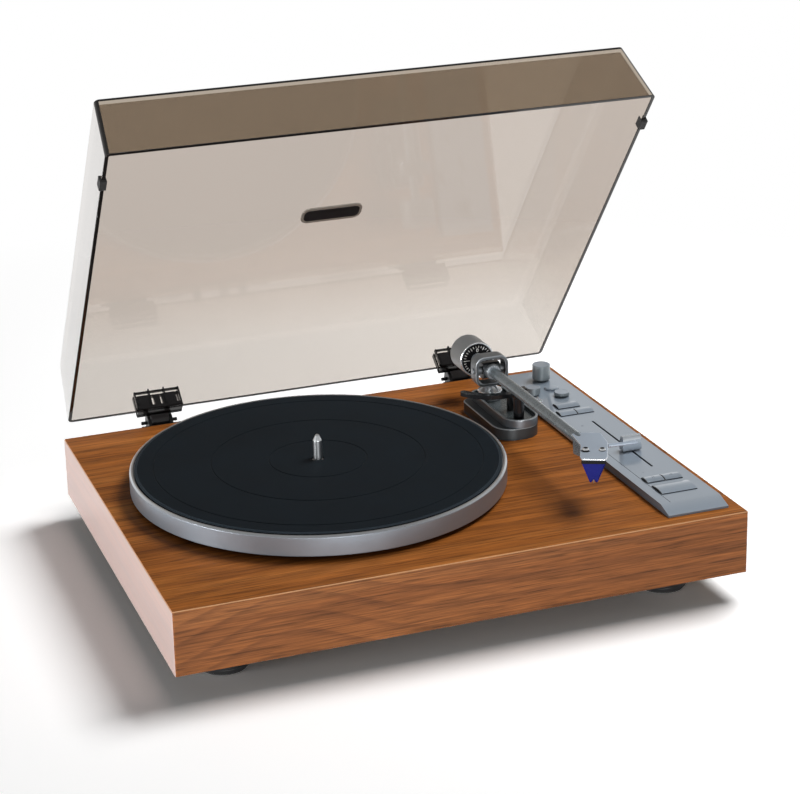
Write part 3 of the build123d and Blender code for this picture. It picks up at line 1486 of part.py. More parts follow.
with BuildPart() as stylus:
    with BuildSketch(placed(head_place, Plane.YZ.offset(cartridge_front))) as stylus_face:
        with BuildLine() as stylus_outline:
            Polyline(
                (-stylus_width / 2, cartridge_top - cartridge_flange),
                (stylus_width / 2, cartridge_top - cartridge_flange),
                (stylus_tip_width / 2, cartridge_top - stylus_drop),
                (0, cartridge_top - stylus_drop + stylus_notch),
                (-stylus_tip_width / 2, cartridge_top - stylus_drop),
                close=True,
            )
        make_face()
    extrude(amount=-stylus_length + slip_gap)
    with BuildSketch(placed(head_place, Plane.YZ.offset(cartridge_front))) as stylus_top:
        with Locations((0, cartridge_top - cartridge_flange / 2)):
            Rectangle(stylus_width, cartridge_flange)
    extrude(amount=-stylus_length / 2 + slip_gap)
    with BuildSketch(placed(head_place, Plane.XY.offset(-needle_drop))) as needle:
        with Locations((cartridge_front - needle_from_front, 0)):
            Circle(needle_radius)
    extrude(amount=needle_drop + cartridge_top - stylus_drop + 2 * stylus_notch)
stylus.part.label = "stylus"
export_step(stylus.part, "parts/stylus.step")


# Dust cover, drawn closed and turned open about its hinge

cover_back = plinth_back
cover_front = cover_back - cover_depth
cover_rim = plinth_top + cover_rim_height
cover_top = cover_rim + cover_height
cover_place = (
    Location((0, hinge_y, hinge_z), (-cover_open, 0, 0)) * Location((0, -hinge_y, -hinge_z))
)
cover_up = Axis(cover_place.position, placed(cover_place, Plane.XY).z_dir)

with BuildPart() as dust_cover:
    with BuildSketch(placed(cover_place, Plane.XY.offset(cover_rim))) as cover_rim_outline:
        with Locations((plinth_x, (cover_back + cover_front) / 2)):
            Rectangle(cover_width, cover_depth)
    with BuildSketch(placed(cover_place, Plane.XY.offset(cover_top))) as cover_top_outline:
        with Locations((plinth_x, (cover_back + cover_front + cover_draft_front) / 2)):
            Rectangle(cover_width - 2 * cover_draft_side, cover_depth - cover_draft_front)
    loft(ruled=True)
    fillet(dust_cover.faces().sort_by(cover_up)[1:5].edges().filter_by(
        lambda edge: abs((edge % 0.5).dot(cover_up.direction)) > 0.5), cover_corner)
    offset(amount=-cover_thickness, openings=dust_cover.faces().sort_by(cover_up)[0])
dust_cover.part.label = "dust_cover"
export_step(dust_cover.part, "parts/dust_cover.step")

with BuildPart() as cover_badge:
    with BuildSketch(placed(cover_place, Plane.XY.offset(cover_top - cover_thickness))) as badge_outline:
        with Locations((plinth_x, cover_back - badge_from_back)):
            RectangleRounded(badge_width, badge_depth, badge_corner)
    extrude(amount=-badge_thickness)
cover_badge.part.label = "cover_badge"
export_step(cover_badge.part, "parts/cover_badge.step")

stop_floor = plinth_top + slip_gap
stop_y = cover_front + stop_from_front + stop_length / 2
with BuildPart() as cover_stops:
    with BuildSketch(placed(cover_place, Plane.XZ.offset(-(stop_y + stop_length / 2)))) as stop_section:
        for side in (-1, 1):
            outer_x = plinth_x + side * (cover_width / 2 + stop_outer_wall)
            inner_x = plinth_x + side * (cover_width / 2 - cover_thickness - stop_inner_wall)
            with Locations(((outer_x + inner_x) / 2, (stop_floor + cover_rim + stop_height) / 2)):
                Rectangle(abs(outer_x - inner_x), cover_rim + stop_height - stop_floor)
    extrude(amount=stop_length)
    add(dust_cover.part, mode=Mode.SUBTRACT)
cover_stops.part.label = "cover_stops"
export_step(cover_stops.part, "parts/cover_stops.step")


# Hinges of the dust cover

socket_bottom = cover_rim - socket_floor
socket_inside = cover_back - cover_thickness - socket_front_jaw
socket_outside = cover_back + socket_jaw
with BuildPart() as hinge_sockets:
    for side in (-1, 1):
        hinge_x = plinth_x + side * hinge_spacing / 2
        with BuildSketch(placed(cover_place, Plane.XY.offset(socket_bottom))) as socket_block:
            with Locations((hinge_x, (socket_inside + socket_outside) / 2)):
                Rectangle(socket_width, socket_outside - socket_inside)
        extrude(amount=socket_floor + socket_height)
        with BuildSketch(placed(cover_place, Plane.XZ.offset(-cover_back + cover_thickness))) as socket_slots:
            with Locations((hinge_x, cover_rim + socket_height / 2)):
                with GridLocations(socket_slot_spacing, 0, 2, 1):
                    Rectangle(socket_slot_width, socket_slot_height)
        extrude(amount=socket_front_jaw, mode=Mode.SUBTRACT)
        with BuildSketch(placed(cover_place, Plane.YZ.offset(hinge_x - neck_width / 2))) as socket_neck:
            with Locations((hinge_y, hinge_z)):
                Circle(barrel_radius)
            with Locations((socket_outside - socket_jaw / 4, socket_bottom + socket_height / 3)):
                Rectangle(socket_jaw / 2, socket_height * 2 / 3)
            make_hull()
            with Locations((hinge_y, hinge_z)):
                Circle(hinge_pin_radius + running_gap, mode=Mode.SUBTRACT)
        extrude(amount=neck_width)
    add(dust_cover.part, mode=Mode.SUBTRACT)
hinge_sockets.part.label = "hinge_sockets"
export_step(hinge_sockets.part, "parts/hinge_sockets.step")

ear_start = neck_width / 2 + slip_gap
with BuildPart() as hinge_brackets:
    for side in (-1, 1):
        hinge_x = plinth_x + side * hinge_spacing / 2
        with BuildSketch(Plane.XZ.offset(-plinth_back)) as bracket_plate:
            with Locations((hinge_x, plinth_top - bracket_top_drop - bracket_height / 2)):
                Rectangle(bracket_width, bracket_height)
            with Locations((hinge_x, bracket_screw_z)):
                with GridLocations(bracket_screw_spacing, 0, 2, 1):
                    Circle(wood_screw_radius + screw_gap, mode=Mode.SUBTRACT)
        extrude(amount=-bracket_thickness)
        for ear_side in (-1, 1):
            ear_x = hinge_x + ear_side * (ear_start + ear_thickness / 2) - ear_thickness / 2
            with BuildSketch(Plane.YZ.offset(ear_x)) as ear_section:
                with Locations((hinge_y, hinge_z)):
                    Circle(ear_radius)
                with Locations((plinth_back + bracket_thickness / 2, hinge_z - ear_radius)):
                    Rectangle(bracket_thickness, ear_radius)
                make_hull()
                with Locations((hinge_y, hinge_z)):
                    Circle(hinge_pin_radius + screw_gap, mode=Mode.SUBTRACT)
            extrude(amount=ear_thickness)
hinge_brackets.part.label = "hinge_brackets"
export_step(hinge_brackets.part, "parts/hinge_brackets.step")

with BuildPart() as hinge_pins:
    for side in (-1, 1):
        hinge_x = plinth_x + side * hinge_spacing / 2
        pin_reach = ear_start + ear_thickness + hinge_pin_overhang
        with BuildSketch(Plane.YZ.offset(hinge_x - pin_reach)) as pin_section:
            with Locations((hinge_y, hinge_z)):
                Circle(hinge_pin_radius)
        extrude(amount=2 * pin_reach)
hinge_pins.part.label = "hinge_pins"
export_step(hinge_pins.part, "parts/hinge_pins.step")


# Screws: small ones for motor, boards and rear plate, larger ones for wood

def grid_planes(plane, across, up, columns, rows):
    """The given plane at each spot of a grid in it."""
    return [plane * spot for spot in GridLocations(across, up, columns, rows)]


motor_seat = Plane((motor_x, motor_y, deck_underside - motor_flange), z_dir=(0, 0, -1))
main_board_seat = Plane((rear_plate_x, main_board_y, main_board_z + board_thickness))
small_screw_seats = grid_planes(motor_seat, motor_screw_spacing, 0, 2, 1)
small_screw_seats += grid_planes(main_board_seat, board_screw_spots[0], board_screw_spots[1], 2, 2)
small_screw_seats += grid_planes(
    rear_face.offset(rear_plate_thickness), rear_screw_spots[0], rear_screw_spots[1], 2, 2
)
for boss_y in boss_rows:
    boss_seat = Plane((board_x, boss_y, board_top - board_thickness), z_dir=(0, 0, -1))
    small_screw_seats += grid_planes(boss_seat, boss_columns, 0, 2, 1)

with BuildPart() as small_screws:
    with BuildSketch(*small_screw_seats) as small_heads:
        Circle(small_head_radius)
    extrude(amount=small_head)
    with BuildSketch(*small_screw_seats) as small_shanks:
        Circle(small_screw_radius)
    extrude(amount=-small_screw_length)
small_screws.part.label = "small_screws"
export_step(small_screws.part, "parts/small_screws.step")

cover_seat = Plane((plinth_x, plinth_y, plinth_bottom + wood_head), z_dir=(0, 0, -1))
wood_screw_seats = grid_planes(cover_seat, cover_screw_spots[0] / 2, cover_screw_spots[1], 3, 2)
for side in (-1, 1):
    bracket_seat = Plane(
        (plinth_x + side * hinge_spacing / 2, plinth_back + bracket_thickness, bracket_screw_z),
        x_dir=(1, 0, 0),
        z_dir=(0, 1, 0),
    )
    wood_screw_seats += grid_planes(bracket_seat, bracket_screw_spacing, 0, 2, 1)

with BuildPart() as wood_screws:
    with BuildSketch(*wood_screw_seats) as wood_heads:
        Circle(wood_head_radius)
    extrude(amount=wood_head)
    with BuildSketch(*wood_screw_seats) as wood_shanks:
        Circle(wood_screw_radius)
    extrude(amount=-wood_screw_length)
wood_screws.part.label = "wood_screws"
export_step(wood_screws.part, "parts/wood_screws.step")
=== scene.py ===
import json
import math

import bmesh
import bpy
from mathutils import Matrix, Vector, geometry

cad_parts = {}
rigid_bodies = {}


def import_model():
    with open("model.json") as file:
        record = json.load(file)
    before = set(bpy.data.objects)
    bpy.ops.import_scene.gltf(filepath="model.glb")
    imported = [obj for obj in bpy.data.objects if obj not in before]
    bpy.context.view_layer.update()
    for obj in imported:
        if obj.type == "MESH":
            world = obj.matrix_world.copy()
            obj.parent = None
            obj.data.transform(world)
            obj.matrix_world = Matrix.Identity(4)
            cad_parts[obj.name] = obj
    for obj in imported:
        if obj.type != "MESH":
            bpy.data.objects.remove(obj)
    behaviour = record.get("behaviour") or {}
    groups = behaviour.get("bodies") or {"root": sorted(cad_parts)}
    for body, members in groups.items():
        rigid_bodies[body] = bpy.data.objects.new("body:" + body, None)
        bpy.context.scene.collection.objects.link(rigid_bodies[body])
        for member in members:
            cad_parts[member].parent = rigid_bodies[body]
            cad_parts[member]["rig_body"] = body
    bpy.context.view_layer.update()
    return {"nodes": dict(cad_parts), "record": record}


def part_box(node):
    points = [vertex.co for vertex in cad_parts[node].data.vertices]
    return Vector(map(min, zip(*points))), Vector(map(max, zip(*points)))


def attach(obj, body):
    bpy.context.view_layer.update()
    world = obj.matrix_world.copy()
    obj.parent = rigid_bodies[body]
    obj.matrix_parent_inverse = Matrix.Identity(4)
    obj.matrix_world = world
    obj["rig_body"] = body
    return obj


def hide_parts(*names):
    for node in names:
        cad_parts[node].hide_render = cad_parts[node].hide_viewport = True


# Looks of the turntable. Pieces are drawn in millimetres and stored in metres.
# The frame is the solids' own: origin on the spindle at the mat's top, X right, Y back, Z up.

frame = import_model()
cad = frame["nodes"]
record_slots = {subpart["node"]: subpart["material_slot"] for subpart in frame["record"]["subparts"]}
MM = 0.001

# Camera
camera_place = (-0.478692, -1.487755, 0.628570)
camera_yaw = 0.3143736
camera_pitch = -0.2996444
camera_roll = -0.0343275
camera_lens = 95.058
camera_shift_x = 0.102581
camera_shift_y = -0.142818

# Tonearm
pivot = Vector((185.157, 87.523, 19.7))
arm_turn = -0.8
arm_rise = 0.7
tube_radius = 4.5
tube_end = 178.0
bend = 210.3
offset_angle = 25.7

# Levels
plinth_top = -20.3
plinth_foot = -70.3
plinth_height = plinth_top - plinth_foot
panel_top = -14.3

# Dust cover, in the place it has when closed
cover_open = 52.5
hinge_line = Vector((56.3, 186.8, -21.7))
cover_left, cover_right = -163.7, 276.3
cover_front, cover_back = -182.5, 174.5
cover_rim, cover_top = -17.8, 39.2
cover_wall = 3.0
draft_side, draft_front = 4.6, 5.5
cover_corner = 4.0


# Shader building

class Graph:
    """The nodes of a material or a world, added one call at a time."""

    def __init__(self, owner):
        owner.use_nodes = True
        self.owner = owner
        self.tree = owner.node_tree
        self.tree.nodes.clear()
        self.coords = None

    def add(self, kind, inputs=None, **settings):
        node = self.tree.nodes.new("ShaderNode" + kind)
        for key, value in settings.items():
            setattr(node, key, value)
        for key, value in (inputs or {}).items():
            if isinstance(value, bpy.types.NodeSocket):
                self.tree.links.new(value, node.inputs[key])
            else:
                node.inputs[key].default_value = value
        return node

    def place(self, scale=(1, 1, 1), shift=(0, 0, 0)):
        """The piece's own coordinates in metres, stretched."""
        if self.coords is None:
            self.coords = self.add("TexCoord").outputs["Object"]
        inputs = {"Vector": self.coords, "Scale": scale, "Location": shift}
        return self.add("Mapping", inputs).outputs["Vector"]

    def noise(self, vector, scale=1.0, detail=3.0, rough=0.5, warp=0.0):
        inputs = {"Vector": vector, "Scale": scale, "Detail": detail, "Roughness": rough, "Distortion": warp}
        return self.add("TexNoise", inputs).outputs["Fac"]

    def ramp(self, value, stops):
        """Colours, or single greys, at places from 0 to 1."""
        node = self.add("ValToRGB", {"Fac": value})
        points = node.color_ramp.elements
        while len(points) < len(stops):
            points.new(0.5)
        for point, (at, colour) in zip(points, stops):
            point.position = at
            point.color = (*colour, 1) if isinstance(colour, tuple) else (colour, colour, colour, 1)
        return node.outputs["Color"]

    def mix(self, amount, a, b, how="MIX"):
        a, b = ((*colour, 1) if isinstance(colour, tuple) else colour for colour in (a, b))
        inputs = {"Factor": amount, "A": a, "B": b}
        return self.add("Mix", inputs, data_type="RGBA", blend_type=how).outputs["Result"]

    def math(self, how, a, b=0.0):
        return self.add("Math", {0: a, 1: b}, operation=how).outputs[0]

    def remap(self, value, low, high, first, last):
        """value, with its span from low to high turned into the span from first to last."""
        return self.add("MapRange", {0: value, 1: low, 2: high, 3: first, 4: last}).outputs[0]

    def bump(self, height, strength, distance):
        inputs = {"Height": height, "Strength": strength, "Distance": distance}
        return self.add("Bump", inputs).outputs["Normal"]

    def finish(self, shader, output="OutputMaterial"):
        self.add(output, {"Surface": shader})
        return self.owner


def solid(name, colour, rough, metal=0.0, vary=0.04, grain=900.0, relief=0.02, stretch=(1, 1, 1), **more):
    """A painted, cast, moulded or machined surface with a little variation and a fine grain."""
    g = Graph(bpy.data.materials.new(name))
    cloud = g.noise(g.place(), 35.0, 4.0, 0.6)
    fine = g.noise(g.place(stretch), grain, 3.0, 0.6)
    low = tuple(c * (1 - vary) for c in colour)
    high = tuple(min(1.0, c * (1 + vary)) for c in colour)
    tone = g.ramp(g.mix(0.5, cloud, fine), ((0.3, low), (0.7, high)))
    gloss = g.ramp(g.mix(0.6, cloud, fine), ((0.25, rough * 0.86), (0.75, min(1.0, rough * 1.16))))
    inputs = {"Base Color": tone, "Roughness": gloss, "Metallic": metal}
    inputs["Normal"] = g.bump(fine, relief, 0.0002)
    inputs.update(more)
    return g.finish(g.add("BsdfPrincipled", inputs).outputs[0])


def walnut(name, along, across, figure, painted_glare=0.0, gleam=0.2, tone=(1, 1, 1)):
    """Veneer with its grain along one axis.

    figure: growth lines per metre, height, place and reach of an arch in them, how far they wander, how dark
    they are. The painted glare is the share of a lighter colour laid over the wood, gleam its gloss, tone a
    factor on its colour.
    """
    g = Graph(bpy.data.materials.new(name))
    lines, arch_height, arch_place, arch_reach, wandering, darkness = figure

    def grained(wide, long, shift=(0, 0, 0)):
        return g.place([long if axis == along else wide for axis in range(3)], shift)

    bands = g.noise(grained(26.0, 1.7), 1.0, 3.0, 0.55, 0.6)
    wander = g.noise(grained(14.3, 1.87, (3.1, 7.7, 1.3)), 1.0, 2.0, 0.5, 0.3)
    position = g.add("SeparateXYZ", {0: g.coords}).outputs
    aside = g.math("DIVIDE", g.math("SUBTRACT", position[along], arch_place), arch_reach)
    arch = g.math("EXPONENT", g.math("MULTIPLY", g.math("MULTIPLY", aside, aside), -1.0))
    line = g.math("MULTIPLY", position[across], lines)
    line = g.math("SUBTRACT", line, g.math("MULTIPLY", arch, arch_height))
    line = g.math("ADD", line, g.math("MULTIPLY", wander, wandering))
    late = g.ramp(g.math("FRACT", line), ((0.0, 0.05), (0.55, 0.25), (0.86, 1.0), (0.93, 0.85), (1.0, 0.05)))
    grain = g.noise(grained(430.0, 13.0, (1.0, 4.0, 6.0)), 1.0, 4.0, 0.6, 0.4)
    grain = g.ramp(grain, ((0.30, 0.52), (0.46, 0.95), (0.66, 1.12)))
    fibres = g.noise(grained(1150.0, 24.0), 1.0, 4.0, 0.65)
    pores = g.ramp(g.noise(grained(760.0, 26.0, (5.0, 2.0, 9.0)), 1.0, 2.0), ((0.30, 1.0), (0.40, 0.0)))
    warm = g.ramp(bands, ((0.28, (0.170, 0.056, 0.015)), (0.48, (0.275, 0.094, 0.026)),
                          (0.72, (0.370, 0.142, 0.044))))
    warm = g.mix(g.math("MULTIPLY", late, darkness), warm, (0.075, 0.026, 0.011))
    warm = g.mix(1.0, warm, grain, "MULTIPLY")
    streak = g.ramp(fibres, ((0.32, 0.40), (0.50, 0.92), (0.70, 1.45)))
    warm = g.mix(0.75, warm, g.mix(1.0, warm, streak, "MULTIPLY"))
    warm = g.mix(g.math("MULTIPLY", pores, 0.55), warm, (0.035, 0.012, 0.006))
    warm = g.mix(1.0, warm, tone, "MULTIPLY")
    # Painted glare: a lighter colour mixed over the wood, standing in for glare on a side.
    if painted_glare:
        warm = g.mix(painted_glare, warm, (0.70, 0.57, 0.545))
    gloss = g.ramp(fibres, ((0.3, 0.34), (0.7, 0.50)))
    height = g.mix(0.5, fibres, g.math("SUBTRACT", 1.0, pores))
    inputs = {"Base Color": warm, "Roughness": gloss, "Specular IOR Level": gleam}
    inputs["Normal"] = g.bump(height, 0.10, 0.0002)
    return g.finish(g.add("BsdfPrincipled", inputs).outputs[0])


def acrylic(name, tint, painted_glare, rough, glare_heights):
    """Clear smoked sheet that isn't thick enough to bend what is seen through it.

    Each surface passes half a wall's tint. Towards its foot it turns to a lighter tint, a painted lightening,
    fully below the first of two given heights, in metres, and not at all above the second.
    """
    g = Graph(bpy.data.materials.new(name))
    haze = g.ramp(g.noise(g.place(), 9.0, 3.0, 0.6), ((0.3, rough * 0.6), (0.7, rough * 1.4)))
    film = g.ramp(g.noise(g.place(), 3.0, 2.0), ((0.3, tuple(t * 0.985 for t in tint)), (0.7, tint)))
    height = g.add("SeparateXYZ", {0: g.coords}).outputs[2]
    # Painted lightening of the sheet towards its foot.
    film = g.mix(g.remap(height, *glare_heights, 1.0, 0.0), film, painted_glare)
    clear = g.add("BsdfTransparent", {"Color": film}).outputs[0]
    shine = g.add("BsdfGlossy", {"Color": (0.9, 0.9, 0.9, 1), "Roughness": haze}).outputs[0]
    facing = g.add("LayerWeight", {"Blend": 0.5}).outputs["Facing"]
    mirror = g.ramp(facing, ((0.0, 0.03), (0.3, 0.04), (0.5, 0.07), (0.62, 0.22), (0.74, 0.55), (1.0, 0.95)))
    return g.finish(g.add("MixShader", {0: mirror, 1: clear, 2: shine}).outputs[0])


# Mesh building

def store(name, vertices, faces, materials, slots=None, smooth=True, sharp=35.0):
    """A mesh object from points in millimetres. slots gives each face's material."""
    mesh = bpy.data.meshes.new(name)
    mesh.from_pydata([Vector(v) * MM for v in vertices], [], faces)
    return settle(name, mesh, materials, slots, smooth, sharp)


def settle(name, mesh, materials, slots=None, smooth=True, sharp=35.0):
    for material in materials:
        mesh.materials.append(material)
    if slots:
        mesh.polygons.foreach_set("material_index", slots)
    build = bmesh.new()
    build.from_mesh(mesh)
    bmesh.ops.recalc_face_normals(build, faces=build.faces)
    build.to_mesh(mesh)
    build.free()
    mesh.polygons.foreach_set("use_smooth", [smooth] * len(mesh.polygons))
    mesh.update()
    mesh.validate()
    if smooth:
        mesh.set_sharp_from_angle(angle=math.radians(sharp))
    piece = bpy.data.objects.new(name, mesh)
    bpy.context.scene.collection.objects.link(piece)
    if smooth:
        weighted = piece.modifiers.new("even_shading", "WEIGHTED_NORMAL")
        weighted.keep_sharp = True
    return piece


def own(piece, body, slot, *replaced):
    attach(piece, body)
    if replaced:
        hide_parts(*replaced)
    return piece


def rounded(points, steps=4):
    """A path whose corners are rounded. Each point is (a, b) or (a, b, radius)."""
    path = []
    count = len(points)
    for i, point in enumerate(points):
        here = Vector(point[:2])
        radius = point[2] if len(point) > 2 else 0.0
        if radius == 0.0:
            path.append(tuple(here))
            continue
        back = Vector(points[(i - 1) % count][:2]) - here
        ahead = Vector(points[(i + 1) % count][:2]) - here
        half = back.angle(ahead) / 2
        reach = min(radius / math.tan(half), back.length * 0.49, ahead.length * 0.49)
        fit = reach * math.tan(half)
        centre = here + (back.normalized() + ahead.normalized()).normalized() * (fit / math.sin(half))
        first = here + back.normalized() * reach - centre
        last = here + ahead.normalized() * reach - centre
        sweep = first.angle_signed(last)
        for k in range(steps + 1):
            turn = -sweep * k / steps
            path.append(tuple(centre + Matrix.Rotation(turn, 2) @ first))
    return path


def lathe(name, profile, materials, place=None, segments=96, slots=None, closed=False):
    """A turned piece. profile is (radius, height) from end to end; slots gives each span's material."""
    place = place or Matrix()
    vertices, rows = [], []
    for radius, height in profile:
        if radius <= 0:
            rows.append([len(vertices)])
            vertices.append(place @ Vector((0, 0, height)))
            continue
        start = len(vertices)
        rows.append(list(range(start, start + segments)))
        for k in range(segments):
            a = 2 * math.pi * k / segments
            vertices.append(place @ Vector((radius * math.cos(a), radius * math.sin(a), height)))
    faces, marks = [], []
    spans = list(zip(rows, rows[1:])) + ([(rows[-1], rows[0])] if closed else [])
    for i, (low, high) in enumerate(spans):
        for k in range(segments):
            n = (k + 1) % segments
            if len(low) == 1 and len(high) == 1:
                continue
            if len(low) == 1:
                faces.append((low[0], high[n], high[k]))
            elif len(high) == 1:
                faces.append((low[k], low[n], high[0]))
            else:
                faces.append((low[k], low[n], high[n], high[k]))
            marks.append(slots[i] if slots else 0)
    return store(name, vertices, faces, materials, marks)


def inset(loop, depth):
    """A closed outline moved inwards by depth. The outline runs counterclockwise."""
    moved = []
    for i, point in enumerate(loop):
        here = Vector(point)
        back = (here - Vector(loop[i - 1])).normalized()
        ahead = (Vector(loop[(i + 1) % len(loop)]) - here).normalized()
        side = Vector((-(back + ahead).y, (back + ahead).x)).normalized()
        square = max(0.35, side.dot(Vector((-back.y, back.x))))
        moved.append(tuple(here + side * (depth / square)))
    return moved


def loft(name, sections, materials, slots=None, around=False, sharp=35.0):
    """A skin over loops of equal count. around joins the last loop to the first."""
    vertices = [v for section in sections for v in section]
    size = len(sections[0])
    faces, marks = [], []
    pairs = [(i, i + 1) for i in range(len(sections) - 1)] + ([(len(sections) - 1, 0)] if around else [])
    for row, (low, high) in enumerate(pairs):
        for k in range(size):
            n = (k + 1) % size
            faces.append((low * size + k, low * size + n, high * size + n, high * size + k))
            marks.append(slots[row] if slots else 0)
    if not around:
        top = (len(sections) - 1) * size
        faces += [tuple(range(size - 1, -1, -1)), tuple(range(top, top + size))]
        marks += [slots[0], slots[-1]] if slots else [0, 0]
    return store(name, vertices, faces, materials, marks, sharp=sharp)


def slab(name, outline, low, high, edge, materials, place=None, steps=3, foot=0.0, slots=None):
    """A plate or block of any outline with rounded upper edges, and lower ones where foot isn't 0."""
    place = place or Matrix()
    levels = []
    for k in range(steps + 1):
        a = math.pi / 2 * k / steps
        if foot:
            levels.append((foot * (1 - math.sin(a)), low + foot * (1 - math.cos(a))))
    if not foot:
        levels.append((0.0, low))
    for k in range(steps + 1):
        a = math.pi / 2 * k / steps
        levels.append((edge * (1 - math.cos(a)), high - edge * (1 - math.sin(a))))
    sections = [[place @ Vector((x, y, z)) for x, y in inset(outline, depth)] for depth, z in levels]
    return loft(name, sections, materials, slots=slots)


def oblong(width, depth, radius, middle=(0, 0), steps=6):
    """A rectangle with round corners, counterclockwise. radius may be (front, back)."""
    front, back = radius if isinstance(radius, tuple) else (radius, radius)
    x, y = middle
    corners = ((x + width / 2, y - depth / 2, front), (x + width / 2, y + depth / 2, back),
               (x - width / 2, y + depth / 2, back), (x - width / 2, y - depth / 2, front))
    return rounded(corners, steps)


def tube(name, path, radii, materials, segments=20):
    """A round bar along a path, with a radius for each point."""
    points = [Vector(p) for p in path]
    side = None
    sections = []
    for i, point in enumerate(points):
        ahead = (points[min(i + 1, len(points) - 1)] - points[max(i - 1, 0)]).normalized()
        if side is None:
            side = ahead.orthogonal().normalized()
        side = (side - ahead * side.dot(ahead)).normalized()
        other = ahead.cross(side)
        ring = []
        for k in range(segments):
            a = 2 * math.pi * k / segments
            ring.append(point + (side * math.cos(a) + other * math.sin(a)) * radii[i])
        sections.append(ring)
    return loft(name, sections, materials)


def dressed(node, materials, edge=0.35, steps=2, pick=None, chosen=None):
    """A copy of a solid with its sharp edges rounded, and its faces shared among materials by pick."""
    source = cad[node]
    build = bmesh.new()
    build.from_mesh(source.data)
    bmesh.ops.remove_doubles(build, verts=build.verts, dist=0.000002)
    bmesh.ops.dissolve_limit(build, angle_limit=math.radians(1.0), verts=build.verts, edges=build.edges)
    limit = math.radians(40.0)
    edges = [e for e in build.edges if len(e.link_faces) == 2 and e.calc_face_angle(0) > limit]
    if chosen:
        edges = [e for e in edges if chosen(e)]
    bmesh.ops.bevel(build, geom=edges, offset=edge * MM, segments=steps, profile=0.5,
                    affect="EDGES", clamp_overlap=True)
    mesh = bpy.data.meshes.new(node + "_dressed")
    build.normal_update()
    marks = [pick(f.normal, f.calc_center_median() / MM) for f in build.faces] if pick else None
    build.to_mesh(mesh)
    build.free()
    piece = settle(node + "_look", mesh, materials, marks)
    return own(piece, cad[node]["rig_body"], record_slots[node], node)


def paint(node, material):
    """A solid shown as it is, with a better material."""
    mesh = cad[node].data
    mesh.materials.clear()
    mesh.materials.append(material)


def extent(node):
    """A solid's low and high corner in millimetres."""
    low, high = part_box(node)
    return low / MM, high / MM


def words(name, text, size, place, material, body, slot):
    """Figures printed a little proud of a face: place has them upright along its Y and facing its Z."""
    curve = bpy.data.curves.new(name, "FONT")
    curve.body = text
    curve.size = size
    curve.extrude = 0.06
    curve.align_x = "CENTER"
    curve.align_y = "CENTER"
    curve.resolution_u = 3
    shape = bpy.data.objects.new(name + "_draft", curve)
    bpy.context.scene.collection.objects.link(shape)
    bpy.context.view_layer.update()
    mesh = bpy.data.meshes.new_from_object(shape.evaluated_get(bpy.context.evaluated_depsgraph_get()))
    bpy.data.objects.remove(shape)
    mesh.materials.clear()
    mesh.transform(Matrix.Scale(MM, 4) @ place)
    return own(settle(name, mesh, [material], smooth=False), body, slot)


# Materials

# The top's tone factor makes it lighter and warmer than the front and sides: painted light falling on the
# top.
wood_top = walnut("walnut_top", 0, 1, (46.0, 0.7, 0.05, 0.25, 1.35, 0.35), gleam=0.04,
                  tone=(1.44, 1.38, 1.04))
wood_front = walnut("walnut_front", 0, 2, (70.0, 2.2, -0.085, 0.070, 1.6, 0.40), tone=(1.12, 1.14, 1.20))
# The plinth's left side: walnut with a lighter colour laid over most of it, a painted glare.
wood_left_glare = walnut("walnut_left_glare", 1, 2, (60.0, 0.8, 0.0, 0.2, 1.2, 0.42), painted_glare=0.66)
wood_right = walnut("walnut_right", 1, 2, (60.0, 0.8, 0.0, 0.2, 1.2, 0.40), tone=(1.12, 1.14, 1.20))
# A lighter wood for the rounded top rim of the plinth, a painted highlight.
wood_edge_highlight = solid("veneer_edge_highlight", (0.56, 0.30, 0.15), 0.40, vary=0.15, grain=400)
wood_raw = solid("fibreboard", (0.19, 0.12, 0.07), 0.85, vary=0.25, grain=500, relief=0.2)
satin_paint = solid("satin_paint", (0.270, 0.325, 0.390), 0.36, metal=0.2, vary=0.03, grain=2600,
                    relief=0.012, **{"Coat Weight": 1.0, "Coat Roughness": 0.04, "Coat IOR": 2.05})
# A darker copy of the panel paint for sides, fronts and undersides, painted shade; a bright copy for rounded
# edges and ridges, a painted highlight.
painted_side_shade = solid("panel_painted_side_shade", (0.13, 0.145, 0.17), 0.42, metal=0.4, vary=0.06, grain=2600)
painted_edge_highlight = solid("painted_edge_highlight", (0.52, 0.56, 0.60), 0.22, metal=0.6, vary=0.03, grain=2600, relief=0.01)
key_paint = solid("key_paint", (0.290, 0.345, 0.410), 0.34, metal=0.25, vary=0.03, grain=2600, relief=0.01,
                  **{"Coat Weight": 0.8, "Coat Roughness": 0.10, "Coat IOR": 1.9})
knob_metal = solid("knob_metal", (0.215, 0.245, 0.26), 0.38, metal=0.4, grain=1200, relief=0.012,
                   stretch=(1, 1, 0.05))
polished = solid("polished_metal", (0.62, 0.64, 0.66), 0.30, metal=1.0, vary=0.01, relief=0.0)
bright_trim = solid("bright_trim", (0.50, 0.53, 0.56), 0.28, metal=0.8, relief=0.004)
turned_side = solid("platter_side", (0.26, 0.29, 0.33), 0.34, metal=0.75, relief=0.01, stretch=(0.6, 0.6, 14))
arm_metal = solid("arm_metal", (0.215, 0.250, 0.270), 0.27, metal=0.65, vary=0.05, grain=2400)
head_metal = solid("head_metal", (0.43, 0.50, 0.59), 0.32, metal=0.35, grain=2400, relief=0.012)
weight_metal = solid("weight_metal", (0.20, 0.21, 0.215), 0.42, metal=0.5, vary=0.05, grain=2200, relief=0.03)
gimbal_metal = solid("gimbal_metal", (0.145, 0.158, 0.168), 0.34, metal=0.6, vary=0.05, grain=2400)
